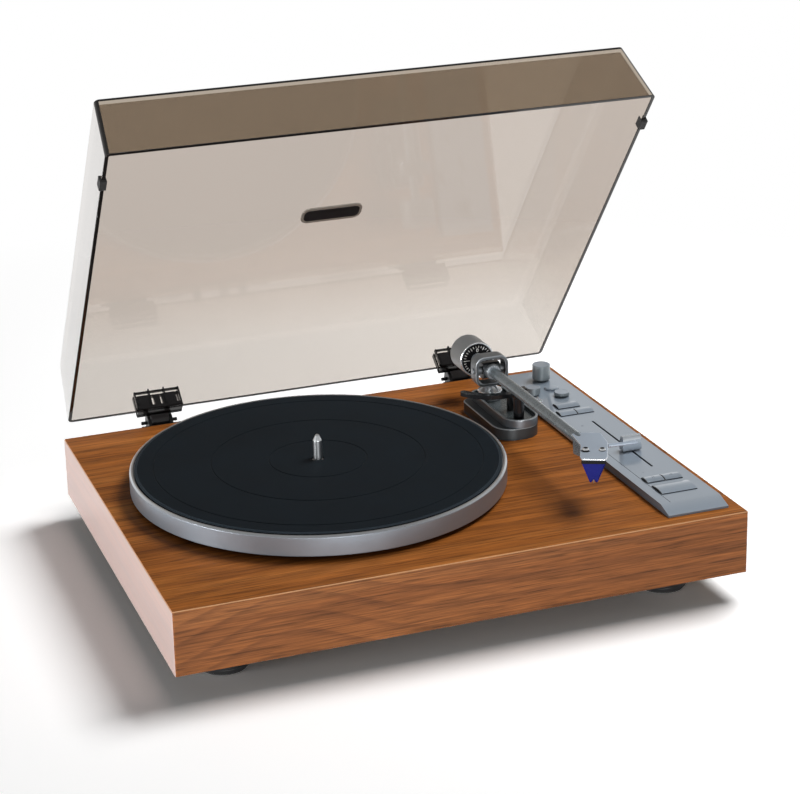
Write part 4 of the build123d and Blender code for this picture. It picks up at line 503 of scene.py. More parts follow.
# Lighter metal for the gimbal screws, and a painted highlight on the gimbal frame's rounded edges.
gimbal_trim_and_edge_highlight = solid("gimbal_trim_and_edge_highlight", (0.27, 0.29, 0.31), 0.32, metal=0.65, grain=2400, relief=0.01)
bell_metal = solid("bell_metal", (0.72, 0.74, 0.76), 0.20, metal=0.9, vary=0.02, relief=0.0)
gimbal_dark = solid("gimbal_dark", (0.045, 0.050, 0.055), 0.30, metal=0.6, vary=0.05, grain=2400)
pod_paint = solid("pod_paint", (0.055, 0.066, 0.073), 0.36, metal=0.5, vary=0.05, grain=2600, relief=0.015)
pod_upper = solid("pod_upper", (0.190, 0.212, 0.236), 0.32, metal=0.7, grain=2600, relief=0.012)
# A lighter grey for the tiers' rounded top edges, a painted highlight.
pod_rim_highlight = solid("pod_rim_highlight", (0.34, 0.37, 0.39), 0.30, metal=0.6, grain=2200, relief=0.012)
pod_floor = solid("pod_floor", (0.085, 0.10, 0.105), 0.26, metal=0.5, vary=0.06, grain=2600, relief=0.01)
# Bright silver for rings and screw heads, and a painted highlight on the headshell's edge.
silver_and_lip_highlight = solid("silver_and_lip_highlight", (0.74, 0.76, 0.78), 0.24, metal=0.85, vary=0.03, relief=0.002)
black_gloss = solid("black_gloss", (0.008, 0.008, 0.009), 0.20, vary=0.2, grain=1500, relief=0.01)
black_satin = solid("black_satin", (0.012, 0.012, 0.013), 0.42, vary=0.2, grain=2200, relief=0.04)
black_rubber = solid("black_rubber", (0.014, 0.014, 0.014), 0.72, vary=0.2, grain=1600, relief=0.10)
dial_black = solid("dial_black", (0.007, 0.007, 0.008), 0.38, vary=0.15, grain=2000,
                   **{"Specular IOR Level": 0.12})
dial_white = solid("dial_white", (0.86, 0.86, 0.84), 0.5, grain=1500)
print_grey = solid("print_grey", (0.13, 0.15, 0.175), 0.5, grain=1500, relief=0.01)
blue_shell = solid("blue_shell", (0.009, 0.012, 0.150), 0.20, vary=0.2, relief=0.006,
                   **{"Specular IOR Level": 0.14})
brass = solid("brass", (0.55, 0.38, 0.14), 0.30, metal=1.0, vary=0.06)
steel = solid("steel", (0.42, 0.42, 0.42), 0.36, metal=0.95, vary=0.08, grain=1300, relief=0.03)
# Dark steel for pins and screws; on the keys it is painted shade.
dark_steel_and_key_shade = solid("dark_steel_and_key_shade", (0.045, 0.047, 0.05), 0.32, metal=0.8, vary=0.1, grain=1300, relief=0.03)
board_green = solid("board_green", (0.015, 0.09, 0.03), 0.4, vary=0.2, grain=300, relief=0.05)
frame_beige = solid("badge_frame", (0.30, 0.27, 0.235), 0.35, metal=0.5, vary=0.06, grain=1800)
# The walls turn to a lighter tint towards their foot, a painted lightening.
clear_wall = acrylic("smoked_acrylic", (0.765, 0.718, 0.678), (0.795, 0.765, 0.735), 0.05, (0.02, 0.085))
clear_front = acrylic("smoked_acrylic_front", (0.620, 0.565, 0.490), (0.620, 0.565, 0.490), 0.05, (0.0, 0.01))
clear_edge = solid("acrylic_edge", (0.012, 0.010, 0.009), 0.12, vary=0.2, grain=400, relief=0.01)


def ribbed(name, colour, rough, pitch, depth):
    """Rubber or metal with fine rings about the spindle."""
    g = Graph(bpy.data.materials.new(name))
    position = g.add("SeparateXYZ", {0: g.place()})
    across = g.math("MULTIPLY", position.outputs[0], position.outputs[0])
    along = g.math("MULTIPLY", position.outputs[1], position.outputs[1])
    radius = g.math("SQRT", g.math("ADD", across, along))
    wave = g.math("SINE", g.math("MULTIPLY", radius, 2 * math.pi / pitch))
    cloud = g.noise(g.place(), 22.0, 5.0, 0.65)
    dust = g.noise(g.place(), 1800.0, 2.0, 0.5)
    low, high = (tuple(c * share for c in colour) for share in (0.8, 1.25))
    tone = g.ramp(g.mix(0.35, cloud, dust), ((0.3, low), (0.7, high)))
    gloss = g.ramp(cloud, ((0.3, rough * 0.9), (0.7, min(1.0, rough * 1.1))))
    height = g.math("ADD", g.math("MULTIPLY", wave, depth), g.math("MULTIPLY", dust, 0.25))
    inputs = {"Base Color": tone, "Roughness": gloss, "Specular IOR Level": 0.02}
    inputs["Normal"] = g.bump(height, 0.35, 0.0001)
    return g.finish(g.add("BsdfPrincipled", inputs).outputs[0])


mat_face = ribbed("mat_face", (0.0112, 0.0152, 0.0192), 0.55, 0.0011, 0.3)
mat_groove = ribbed("mat_groove", (0.0125, 0.0160, 0.0190), 0.45, 0.0007, 0.2)
# The lip ring is lighter than the face, a painted highlight along the mat's edge.
mat_lip_highlight = ribbed("mat_lip_highlight", (0.026, 0.034, 0.042), 0.42, 0.0009, 0.2)


# Plinth and what is on the back of it

def plinth_face(normal, centre):
    # The rounded rim of the top takes the lighter wood, a painted highlight.
    if 0.25 < normal.z < 0.97:
        return 4
    if centre.z < -69.0 and normal.z < -0.5 or abs(normal.x) < 0.3 and abs(normal.y) < 0.3 and normal.z < 0:
        return 3
    if normal.z > 0.5:
        return 0
    # The left side takes the walnut with painted glare, the right side plain walnut.
    if abs(normal.x) > abs(normal.y):
        return 2 if normal.x < 0 else 5
    return 1


cabinet_low, cabinet_high = extent("cabinet")


def plinth_rim(edge):
    """The outer edges of the plinth's top."""
    for vertex in edge.verts:
        x, y, z = vertex.co / MM
        outside = min(x - cabinet_low.x, cabinet_high.x - x, y - cabinet_low.y, cabinet_high.y - y) < 0.05
        if not outside or abs(z - (cabinet_low.z + plinth_height)) > 0.05:
            return False
    return True


dressed("cabinet", [wood_top, wood_front, wood_left_glare, wood_raw, wood_edge_highlight, wood_right], edge=0.5,
        pick=plinth_face, chosen=plinth_rim)
paint("base_cover", wood_raw)
paint("foot_pads", black_rubber)
for node in ("rear_plate", "hinge_brackets"):
    dressed(node, [black_satin], edge=0.4)
for node in ("bearing_housing", "motor_pulley"):
    paint(node, brass)
for node in ("motor", "motor_shaft", "pitch_fader", "pillar_nut", "small_screws"):
    paint(node, steel)
for node in ("hinge_pins", "wood_screws"):
    paint(node, dark_steel_and_key_shade)
for node in ("main_board", "control_board"):
    paint(node, board_green)
paint("drive_belt", black_rubber)
dressed("power_inlet", [black_satin], edge=0.3)
for node in ("signal_jacks", "ground_post"):
    dressed(node, [bright_trim], edge=0.3)

foot_low, foot_high = extent("feet")
foot_radius = 24.0
base = foot_low.z
profile = rounded([(0, base + 1.5), (18.3, base + 1.5), (18.3, base), (19.4, base, 0.6),
                   (19.8, base + 3, 0.5), (19.0, base + 4, 0.3), (19.6, base + 5, 0.5), (23.0, plinth_foot),
                   (0, plinth_foot)])
feet = [(x, y) for y in (foot_low.y + foot_radius, foot_high.y - foot_radius)
        for x in (foot_low.x + foot_radius, foot_high.x - foot_radius)]
for i, (x, y) in enumerate(feet):
    foot = lathe(f"foot_{i}", profile, [black_satin], Matrix.Translation((x, y, 0)), 64)
    own(foot, "plinth", "black_plastic", *(["feet"] if i == 0 else []))


# Platter, mat and spindle

platter_profile = rounded([
    (4.5, -3), (147, -3), (147, -1.0, 0.25), (148.3, -0.8, 0.4), (149.85, -2.3, 0.5), (149.85, -16.6, 0.3),
    (149.0, -17.3, 0.3), (142, -17.3, 0.3), (142, -7, 1.0), (85, -7, 0.6), (85, -15.8, 0.4), (80, -15.8, 0.4),
    (80, -7, 0.6), (16, -7, 0.8), (16, -10.3, 0.4), (4.5, -10.3),
], 3)


def span_marks(profile, mark, closed=True):
    """The material of each span of a turned profile, from mark(r, z) at the span's middle."""
    ahead = profile[1:] + (profile[:1] if closed else [])
    return [mark((r0 + r1) / 2, (z0 + z1) / 2) for (r0, z0), (r1, z1) in zip(profile, ahead)]


platter_marks = span_marks(platter_profile, lambda r, z: 1 if r > 146.5 and z > -2.2 else 0)
own(lathe("platter_look", platter_profile, [turned_side, polished], segments=256, slots=platter_marks,
          closed=True), "platter", "platter_metal", "platter")

mat_points = [(4.8, -3), (4.8, 0, 0.3)]
for groove in (39, 85, 131):
    mat_points += [(groove - 0.55, 0, 0.1), (groove - 0.25, -0.35), (groove + 0.25, -0.35),
                   (groove + 0.55, 0, 0.1)]
mat_points += [(143.6, 0, 0.15), (143.9, -0.55, 0.1), (145.6, -0.55, 0.35), (145.9, -1.2), (145.9, -3)]
mat_profile = rounded(mat_points, 3)


def mat_mark(r, z):
    if z < -0.25 and 6 < r < 140:
        return 1
    return 2 if r > 143.7 else 0


mat_marks = span_marks(mat_profile, mat_mark)
own(lathe("mat_look", mat_profile, [mat_face, mat_groove, mat_lip_highlight], segments=256, slots=mat_marks,
          closed=True), "platter", "mat_rubber", "mat")

spindle_low, spindle_high = extent("spindle")
tip = spindle_high.z
spindle_profile = rounded([(0, spindle_low.z), (4.5, spindle_low.z, 0.3), (4.5, -0.8, 0.3), (3.6, -0.7),
                           (3.6, tip - 4.8, 1.2), (1.6, tip - 0.9, 1.0), (0.9, tip - 0.1, 0.4), (0, tip)], 4)
own(lathe("spindle_look", spindle_profile, [polished], segments=64), "platter", "bright_metal", "spindle")


# Control panel and its controls

# The panel's sides, front and underside take the painted shade, its rounded edges the painted highlight, its
# top the plain paint.
def panel_face(normal, centre):
    if abs(normal.x) > 0.97 or normal.y < -0.97 or normal.z < -0.3:
        return 1
    return 2 if abs(normal.x) > 0.15 or abs(normal.y) > 0.8 else 0


dressed("control_panel", [satin_paint, painted_side_shade, painted_edge_highlight], edge=0.35, pick=panel_face)


# Key faces: ends, fronts, backs and undersides take near-black, painted shade between and under the keys;
# bevels toward the ends the painted highlight.
def key_face(normal, centre):
    if abs(normal.x) > 0.9 or normal.z < -0.5 or abs(normal.y) > 0.93:
        return 1
    return 2 if abs(normal.x) > 0.2 else 0


for node in ("single_key", "cue_key_left", "cue_key_right", "speed_key_left", "speed_key_right", "start_key"):
    dressed(node, [key_paint, dark_steel_and_key_shade, painted_edge_highlight], edge=0.4, pick=key_face, steps=3)
# The slider's top takes the painted highlight.
dressed("pitch_slider", [key_paint, painted_edge_highlight], edge=0.45, steps=4,
        pick=lambda normal, centre: 1 if normal.z > 0.5 else 0)

for node, figure in (("speed_key_left", "33"), ("speed_key_right", "45")):
    low, high = extent(node)
    spot = Matrix.Translation(((low.x + high.x) / 2, (low.y + high.y) / 2, high.z - 0.03))
    words(node + "_figure", figure, 3.0, spot, print_grey, node, "silver_plastic")
slot_low, slot_high = extent("pitch_slider")
slot_x = (slot_low.x + slot_high.x) / 2
for end, text, y in (("plus", "+", 14.0), ("minus", "-", -96.0)):
    spot = Matrix.Translation((slot_x - 12.5, y, panel_top))
    words("pitch_end_" + end, text, 4.0, spot, print_grey, "plinth", "silver_paint")


knob_foot = -13.5


def knob(node, radius, dish, edge, waist=0.0):
    """A turned knob over its shaft, with a rounded edge, a shallow dished top and a narrow foot."""
    low, high = extent(node)
    x, y = (low.x + high.x) / 2, (low.y + high.y) / 2
    foot, top = knob_foot, high.z
    profile = [(0, low.z), (2.95, low.z, 0.2), (2.95, foot)]
    if waist:
        profile += [(radius - waist, foot, 0.2), (radius - waist, foot + 0.7), (radius, foot + 0.9, 0.2)]
    else:
        profile.append((radius, foot, 0.3))
    profile += [(radius, top, edge), (radius - 1.2, top - 0.02, 0.2), (radius - 1.6, top - dish, 0.2),
                (0, top - dish)]
    profile = rounded(profile)
    marks = span_marks(profile, lambda r, z: 1 if z > top - dish - 0.1 and r < radius - 0.2 else 0, False)
    piece = lathe(node + "_look", profile, [knob_metal, key_paint], Matrix.Translation((x, y, 0)), 96, marks)
    return own(piece, node, record_slots[node], node)


knob("tall_knob", 7.8, 0.25, 0.7, 0.9)
knob("short_knob", 6.6, 0.15, 0.6)
knob("anti_skate_knob", 6.3, 0.3, 0.5, 0.4)
dressed("disc_button", [key_paint], edge=0.35, steps=3)


# Tonearm base, pillar and neck. The arm's own axes: X to the headshell, Y to the right, Z up.

neck = Matrix.Translation(pivot) @ Matrix.Rotation(math.radians(arm_turn - 90), 4, "Z")
arm = neck @ Matrix.Rotation(math.radians(-arm_rise), 4, "Y")
head = arm @ Matrix.Translation((bend, 0, 0)) @ Matrix.Rotation(math.radians(-offset_angle), 4, "Z")
along = Matrix(((0, 0, 1, 0), (1, 0, 0, 0), (0, 1, 0, 0), (0, 0, 0, 1)))
base_middle = Vector((pivot.x, pivot.y - 25.5))
base_length = 85.0
lower_width, upper_width, upper_aside = 40.0, 31.0, 3.8
lower_top = -10.3

# Each tier's rounded top edge takes the lighter grey, a painted highlight.
tier = oblong(lower_width, base_length, (17, 8), base_middle, 10)
own(slab("arm_base_lower_look", tier, plinth_top, lower_top, 0.8, [pod_paint, pod_rim_highlight],
         slots=[0, 1, 1, 1, 0]), "plinth", "dark_metal", "arm_base_lower")
tier = oblong(upper_width, base_length, (14.5, 6), base_middle + Vector((upper_aside, 0)), 10)
levels = ((0, lower_top), (0, -4.0), (0.25, -3.5), (0.7, -3.3), (1.4, -3.3), (1.8, -3.5), (2.0, -4.0),
          (2.0, -6.2), (2.5, -6.7))
sections = [[(x, y, z) for x, y in inset(tier, depth)] for depth, z in levels]
own(loft("arm_base_upper_look", sections, [pod_upper, pod_rim_highlight, pod_floor], slots=[0, 1, 1, 1, 1, 1, 2, 2, 2]),
    "plinth", "dark_metal", "arm_base_upper")

dressed("arm_pillar", [bright_trim], edge=0.5, steps=3)
shaft_end, flare_foot, flare_height = -46.3 - pivot.z, 1.6 - pivot.z, 4.6
foot_wide, waist, neck_wide = 10.3, 6.4, 5.0
flare = []
for k in range(13):
    t = k / 12
    radius = foot_wide * (1 - t) ** 2 + 2 * waist * t * (1 - t) + neck_wide * t * t
    flare.append((radius, flare_foot + flare_height * t))
bell = [(0, shaft_end), (3.96, shaft_end), (3.96, flare_foot - 1.2)]
bell += rounded([(10.2, flare_foot - 1.2, 0.2), (10.5, flare_foot - 0.8, 0.3), (10.5, flare_foot - 0.3, 0.3),
                 flare[0]], 3)[:-1]
own(lathe("neck_shaft_look", bell + flare + [(0, flare_foot + flare_height)], [bell_metal], neck, 96),
    "arm_yoke", "bright_metal", "neck_shaft")


def band(name, outline, wall, low, high, edge, materials, place, slots):
    """A ring of any outline with rounded edges, drawn in its own XY and raised from low to high."""
    cut = edge * 0.3
    steps = ((0, low + edge), (0, high - edge), (cut, high - cut), (edge, high), (wall - edge, high),
             (wall - cut, high - cut), (wall, high - edge), (wall, low + edge), (wall - cut, low + cut),
             (wall - edge, low), (edge, low), (cut, low + cut))
    sections = [[place @ Vector((x, y, z)) for x, y in inset(outline, depth)] for depth, z in steps]
    return loft(name, sections, materials, around=True, slots=slots)


# The frame's rounded edges take the lighter metal, a painted highlight; its faces the darker metal.
own(band("gimbal_frame_look", oblong(30, 27, 8, steps=10), 3.0, -6, 6, 0.7, [gimbal_metal, gimbal_trim_and_edge_highlight],
         neck @ along, [0, 1, 1, 0, 1, 1, 0, 0, 0, 0, 0, 0]), "arm_yoke", "arm_metal", "gimbal_frame")
dressed("gimbal_screws", [gimbal_trim_and_edge_highlight], edge=0.3, steps=3)


def block_face(normal, centre):
    return 1 if (arm.inverted() @ centre).x > 6.05 else 0


dressed("pivot_block", [gimbal_dark, gimbal_metal], edge=0.5, pick=block_face, steps=3)
collar_ring = rounded([(4.3, 8.8), (6.0, 8.8, 0.2), (6.0, 9.4, 0.3), (4.3, 9.4, 0.1)])
own(lathe("sleeve_ring", collar_ring, [bright_trim], arm @ along, 64, closed=True), "arm", "arm_metal")


# Tonearm, counterweight and headshell

tube_profile = rounded([(0, 6.2), (tube_radius - 0.02, 6.2), (tube_radius, 9),
                        (tube_radius, tube_end - 0.4), (tube_radius - 0.05, tube_end), (0, tube_end)])
own(lathe("arm_tube_look", tube_profile, [arm_metal], arm @ along, 64), "arm", "arm_metal", "arm_tube")
dressed("rear_shaft", [arm_metal], edge=0.4)
weight_profile = rounded([(3.7, -53.5), (15.6, -53.5, 1.6), (15.6, -28, 0.9), (13.9, -28, 0.3), (13.9, -31),
                          (3.7, -31)], 5)
weight_marks = span_marks(weight_profile, lambda r, z: 1 if z > -28.9 and r > 13.6 else 0)
own(lathe("counterweight_look", weight_profile, [weight_metal, silver_and_lip_highlight], arm @ along, 128, weight_marks,
          closed=True), "weight", "arm_metal", "counterweight")
dial_front = -27.6
dial_profile = rounded([(3.7, -30.7), (13.6, -30.7), (13.6, dial_front, 0.5), (6.0, dial_front),
                        (5.6, -27.5, 0.1), (3.7, -27.5)], 3)
own(lathe("tracking_dial_look", dial_profile, [dial_black, bright_trim], arm @ along, 96,
          [0] * 6 + [1] * (len(dial_profile) - 6), closed=True), "dial", "black_plastic", "tracking_dial")


def bars(name, places, material, body, slot, place):
    """Printed lines: each is (x, y, width, height, turn) on the face that place's Z looks out of."""
    vertices, faces = [], []
    for x, y, width, height, turn in places:
        spin = Matrix.Rotation(turn, 2)
        start = len(vertices)
        for z in (-0.02, 0.08):
            for a, b in ((-0.5, -0.5), (0.5, -0.5), (0.5, 0.5), (-0.5, 0.5)):
                corner = spin @ Vector((a * width, b * height))
                vertices.append(place @ Vector((x + corner.x, y + corner.y, z)))
        for quad in ((3, 2, 1, 0), (4, 5, 6, 7), (0, 1, 5, 4), (1, 2, 6, 5), (2, 3, 7, 6), (3, 0, 4, 7)):
            faces.append(tuple(start + k for k in quad))
    return own(store(name, vertices, faces, [material], smooth=False), body, slot)


dial_face = arm @ Matrix.Translation((dial_front, 0, 0)) @ along
tick_count, tick_end, tick_width = 30, 12.7, 0.55
ticks = []
for k in range(tick_count):
    a = 2 * math.pi * k / tick_count
    long = 3.2 if k % 5 == 0 else 2.0
    reach = tick_end - long / 2
    ticks.append((reach * math.cos(a), reach * math.sin(a), long, tick_width, a))
bars("dial_ticks", ticks, dial_white, "dial", "black_plastic", dial_face)
for k in range(4):
    figure_place = dial_face @ Matrix.Rotation(math.pi / 2 * k, 4, "Z") @ Matrix.Translation((0, 8.4, 0))
    words(f"dial_figure_{k}", str(k), 4.8, figure_place, dial_white, "dial", "black_plastic")

shell_rise, shell_thick = 3.6, 1.6
tube_cos, tube_sin = math.cos(math.radians(offset_angle)), math.sin(math.radians(offset_angle))
neck_back = -(bend - tube_end)
shell_half, shell_front = 10.5, 16.3
plate = rounded([
    (tube_radius * tube_sin + neck_back * tube_cos, -tube_radius * tube_cos + neck_back * tube_sin, 1),
    (neck_back * tube_cos + tube_radius * tube_sin + 18 * tube_cos, -shell_half, 3.0),
    (11.8, -shell_half, 1.8), (shell_front, -8.9, 1.2), (shell_front, 8.9, 1.2), (11.8, shell_half, 1.8),
    (-14.7, shell_half, 3.0), (-31, tube_radius, 3.0),
    (-tube_radius * tube_sin + neck_back * tube_cos, tube_radius * tube_cos + neck_back * tube_sin, 1),
], 6)
# The headshell's side wall and lower rounded top edge take the bright silver, a painted highlight along the
# lip.
shell = slab("headshell_look", plate, -shell_thick, 0, 0.8, [head_metal, silver_and_lip_highlight], head, steps=4, foot=0.4,
             slots=[0, 0, 0, 0, 1, 1, 1, 0, 0])
upright = arm.to_3x3() @ Vector((0, 0, 1))
for vertex in shell.data.vertices:
    back = min(1.0, max(0.0, (-5.0 - (head.inverted() @ (vertex.co / MM)).x) / 20.0))
    vertex.co += upright * (shell_rise * back * back * (3 - 2 * back) * MM)
own(shell, "arm", "arm_metal", "headshell")
sections = []
for k in range(13):
    t = k / 12
    ease = t * t * (3 - 2 * t)
    x = tube_end - 1.5 + 13.0 * t
    above, below = tube_radius * (1 - ease) + 1.6 * ease, tube_radius * (1 - ease) + ease
    half = tube_radius - 0.02 - 0.5 * ease
    ring = []
    for j in range(48):
        a = 2 * math.pi * j / 48
        height = math.sin(a)
        ring.append(arm @ Vector((x, half * math.cos(a), height * (above if height > 0 else below))))
    sections.append(ring)
own(loft("headshell_neck", sections, [arm_metal]), "arm", "arm_metal")
wall_place = arm @ Matrix(((1, 0, 0, 0), (0, 0, -1, 0), (0, 1, 0, 0), (0, 0, 0, 1)))
wall_outline = rounded([(181.6, -11.9, 1.6), (195.6, -9.6, 1.6), (196.3, 0.2, 0.3), (180.6, 3.1, 0.8)], 5)
own(slab("headshell_wall", wall_outline, tube_radius - shell_thick, tube_radius, 0.5, [arm_metal], wall_place,
         foot=0.3), "arm", "arm_metal")

dressed("cartridge", [black_satin], edge=0.4)
tip_outline = rounded([(-9.1, -3.6, 0.3), (-9.1, -4.6, 0.6), (-3.0, -20.0, 0.5), (-1.6, -20.0, 0.3),
                       (0, -17.2, 0.5), (1.6, -20.0, 0.3), (3.0, -20.0, 0.5), (9.1, -4.6, 0.6),
                       (9.1, -3.6, 0.3)], 3)
stylus_back, stylus_front = 3.1, 14.7
own(slab("stylus_look", tip_outline, stylus_back, stylus_front, 0.7, [blue_shell], head @ along, foot=0.3),
    "arm", "blue_plastic", "stylus")
# A near-black strip over the top of the blue stylus, painted shade under the headshell.
stylus_shade_strip = oblong(18.6, 3.2, 0.3, (0, -3.3), 2)
own(slab("stylus_top_shade", stylus_shade_strip, 9.0, stylus_front + 0.3, 0.3, [dial_black], head @ along, foot=0.2),
    "arm", "blue_plastic")
needle_path = [head @ Vector((11.1, 0, z)) for z in (-16, -20, -21.4, -22)]
own(tube("needle", needle_path, [0.5, 0.45, 0.35, 0.1], [steel], 12), "arm", "blue_plastic")
screw_aside = 6.35
dome = rounded([(0, -7.6), (2.2, -7.6, 0.2), (2.2, -5.6, 0.2), (1.24, -5.6), (1.24, 0.1),
                (2.85, 0.1, 0.1), (2.85, 1.3, 0.2), (2.5, 1.8, 0.4), (2.1, 2.6, 0.4), (1.7, 2.6, 0.1),
                (1.6, 1.1, 0.1), (0, 1.1)])
# The head's side band and its socket take black, painted shade around the silver dome.
marks = [1 if 0.0 < z < 1.3 or r < 1.75 and z > 0 else 0 for r, z in dome[:-1]]
washer = [(2.3, 0.0), (3.8, 0.0), (3.9, 0.12), (3.8, 0.34), (2.3, 0.36)]
for i, side in enumerate((-screw_aside, screw_aside)):
    screw_place = head @ Matrix.Translation((0, side, 0))
    screw = lathe(f"cartridge_screw_{i}", dome, [silver_and_lip_highlight, black_gloss], screw_place, 40, marks)
    own(screw, "arm", "steel", *(["cartridge_screws"] if i == 0 else []))
    own(lathe(f"screw_washer_{i}", washer, [dial_black], screw_place, 40, closed=True), "arm", "steel")

lift_length, lift_angle = 24.0, math.radians(19)
lift_root = head @ Vector((-14, shell_half, -shell_thick / 2))
lift_way = (head.to_3x3() @ Vector((-math.sin(lift_angle), math.cos(lift_angle), 0))).normalized()
lift_path = []
for k in range(13):
    t = k / 12
    lift_path.append(lift_root + lift_way * (lift_length * t) + Vector((0, 0, 0.4 * t * t)))
lift_radii = [1.6 - 0.25 * (k / 12) for k in range(12)] + [0.9]
own(tube("finger_lift_look", lift_path, lift_radii, [head_metal]), "arm", "arm_metal", "finger_lift")


# Cue lift and arm rest

dressed("lift_platform", [black_gloss], edge=0.8, steps=3)
dressed("rest_post", [black_gloss], edge=0.4, steps=3)
dressed("rest_clip", [bright_trim], edge=0.2)


# Dust cover, drawn closed and turned open about its hinge

cover = (Matrix.Translation(hinge_line) @ Matrix.Rotation(math.radians(-cover_open), 4, "X")
         @ Matrix.Translation(-hinge_line))
cover_x = (cover_left + cover_right) / 2
cover_height = cover_top - cover_rim


def cover_loop(z, depth):
    """The cover's outline at one height, moved in by depth."""
    up = (z - cover_rim) / cover_height
    width = cover_right - cover_left - 2 * draft_side * up
    front, back = cover_front + draft_front * up, cover_back
    outline = oblong(width, back - front, cover_corner, (cover_x, (front + back) / 2), 8)
    return [(x, y, z) for x, y in (inset(outline, depth) if depth else outline)]


edge_round, dark_edge = 1.0, 1.8
cover_under = cover_top - cover_wall
loops = [cover_loop(z, depth) for z, depth in (
    (cover_under, cover_wall + 0.6), (cover_under - 0.6, cover_wall), (cover_rim + 0.3, cover_wall),
    (cover_rim, cover_wall - 0.3), (cover_rim, 0.3), (cover_rim + 0.3, 0),
    (cover_top - edge_round - dark_edge, 0), (cover_top - edge_round, 0))]
for k in range(1, 4):
    a = math.pi / 2 * k / 3
    level = cover_loop(cover_top - edge_round, edge_round * (1 - math.cos(a)))
    loops.append([(x, y, cover_top - edge_round * (1 - math.sin(a))) for x, y, z in level])
cover_skin = loft("dust_cover_look", [[cover @ Vector(p) for p in loop] for loop in loops],
                  [clear_wall, clear_edge, clear_front], sharp=60.0)
closed = cover.inverted()
for face in cover_skin.data.polygons:
    spot = closed @ (face.center / MM)
    normal = closed.to_3x3() @ face.normal
    rim = spot.z < cover_rim + 0.31
    up = (spot.z - cover_rim) / cover_height
    from_front = spot.y - (cover_front + draft_front * up)
    from_side = min(spot.x - (cover_left + draft_side * up), cover_right - draft_side * up - spot.x)
    front_edge = spot.z > cover_top - edge_round - dark_edge and from_front < 1.5 and abs(normal.z) < 0.999
    front_corner = from_front < 3.4 and from_side < 3.4 and abs(normal.x) > 0.25 and abs(normal.y) > 0.25
    front_wall = from_front < 3.3 and abs(normal.y) > 0.8
    face.material_index = 1 if rim or front_edge or front_corner else 2 if front_wall else 0
cover_skin.visible_shadow = False
own(cover_skin, "cover", "smoked_acrylic", "dust_cover")

badge_width, badge_depth, badge_rim = 53.0, 19.0, 2.3
flip = Matrix(((1, 0, 0, 0), (0, -1, 0, 0), (0, 0, -1, 0), (0, 0, 0, 1)))
badge_place = cover @ Matrix.Translation((cover_x, cover_back - 181.0, cover_under)) @ flip
badge_outline = oblong(badge_width, badge_depth, 7, steps=8)
own(slab("badge_frame_look", badge_outline, 0, 1.0, 0.35, [frame_beige], badge_place),
    "cover", "black_plastic", "cover_badge")
plate_outline = oblong(badge_width - 2 * badge_rim, badge_depth - 2 * badge_rim - 1.0, 4.6, steps=8)
own(slab("badge_plate", plate_outline, 0.9, 1.2, 0.2, [dial_black], badge_place), "cover", "black_plastic")
dressed("cover_stops", [black_rubber], edge=0.5, steps=3)


def blocks(name, boxes, materials, place, edge):
    """Several blocks with rounded edges in one piece. Each is its low corner and its high corner."""
    build = bmesh.new()
    for low, high in boxes:
        low, high = Vector(low), Vector(high)
        grown = Matrix.Translation((low + high) / 2) @ Matrix.Diagonal((*(high - low), 1))
        made = bmesh.ops.create_cube(build, size=1, matrix=place @ grown)
        edges = list({e for v in made["verts"] for e in v.link_edges})
        bmesh.ops.bevel(build, geom=edges, offset=edge, segments=2, profile=0.5, affect="EDGES",
                        clamp_overlap=True)
    mesh = bpy.data.meshes.new(name)
    bmesh.ops.scale(build, vec=(MM, MM, MM), verts=build.verts)
    build.to_mesh(mesh)
    build.free()
    return settle(name, mesh, materials)


hinge_reach = 139.5
socket_half, socket_front, socket_back = 20.0, 167.5, 179.5
slot_front, slot_back = 171.45, 174.55
knuckle_radius, knuckle_half = 5.5, 8.0
# Each block of a socket: left and right from its middle, and how far it stays below the top bar
socket_blocks = ((-17.9, -6.0, 4.2), (-4.0, 1.7, 4.8), (3.1, 6.6, 4.8), (7.4, 15.8, 4.2))
circle = [(hinge_line.y + knuckle_radius * math.cos(a), hinge_line.z + knuckle_radius * math.sin(a))
          for a in (2 * math.pi * k / 32 for k in range(32))]
corners = [(178.2, -19.7), (178.2, -13.5), (socket_back, -13.5), (socket_back, -19.7)]
hull_points = [Vector(p) for p in circle + corners]
hull = [tuple(hull_points[k]) for k in geometry.convex_hull_2d(hull_points)]
for i, x in enumerate((cover_x - hinge_reach, cover_x + hinge_reach)):
    left, right = x - socket_half, x + socket_half
    low, high = cover_rim - 1.9, cover_rim + 17.0
    parts = [((left, socket_front, low), (right, socket_back, cover_rim - 0.05))]
    for front, back in ((socket_front, slot_front), (slot_back, socket_back)):
        parts += [((left, front, low), (right, back, low + 4.0)),
                  ((left, front + 0.8, high - 1.3), (right, back, high)),
                  ((left, front, low), (left + 1.4, back, high)),
                  ((right - 1.4, front, low), (right, back, high))]
    for start, end, short in socket_blocks:
        parts.append(((x + start, 168.0, low + 2), (x + end, slot_front, high - short)))
    for side in (-7.0, 6.4):
        parts.append(((x + side - 0.7, 166.6, low + 3), (x + side + 0.7, 171.4, high + 0.9)))
    own(blocks(f"hinge_socket_{i}", parts, [black_gloss], cover, 0.35), "cover", "black_plastic",
        *(["hinge_sockets"] if i == 0 else []))
    neck_place = cover @ Matrix.Translation((x - knuckle_half, 0, 0)) @ along
    own(slab(f"hinge_neck_{i}", hull, 0, 2 * knuckle_half, 0.3, [black_satin], neck_place, foot=0.3),
        "cover", "black_plastic")


# Floor, light and camera

floor_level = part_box("foot_pads")[0].z
floor_half = 12.0
floor_bounce, floor_seen = 0.72, 1.35
paper_fade = (0.62, 1.05)
ambient = 0.075


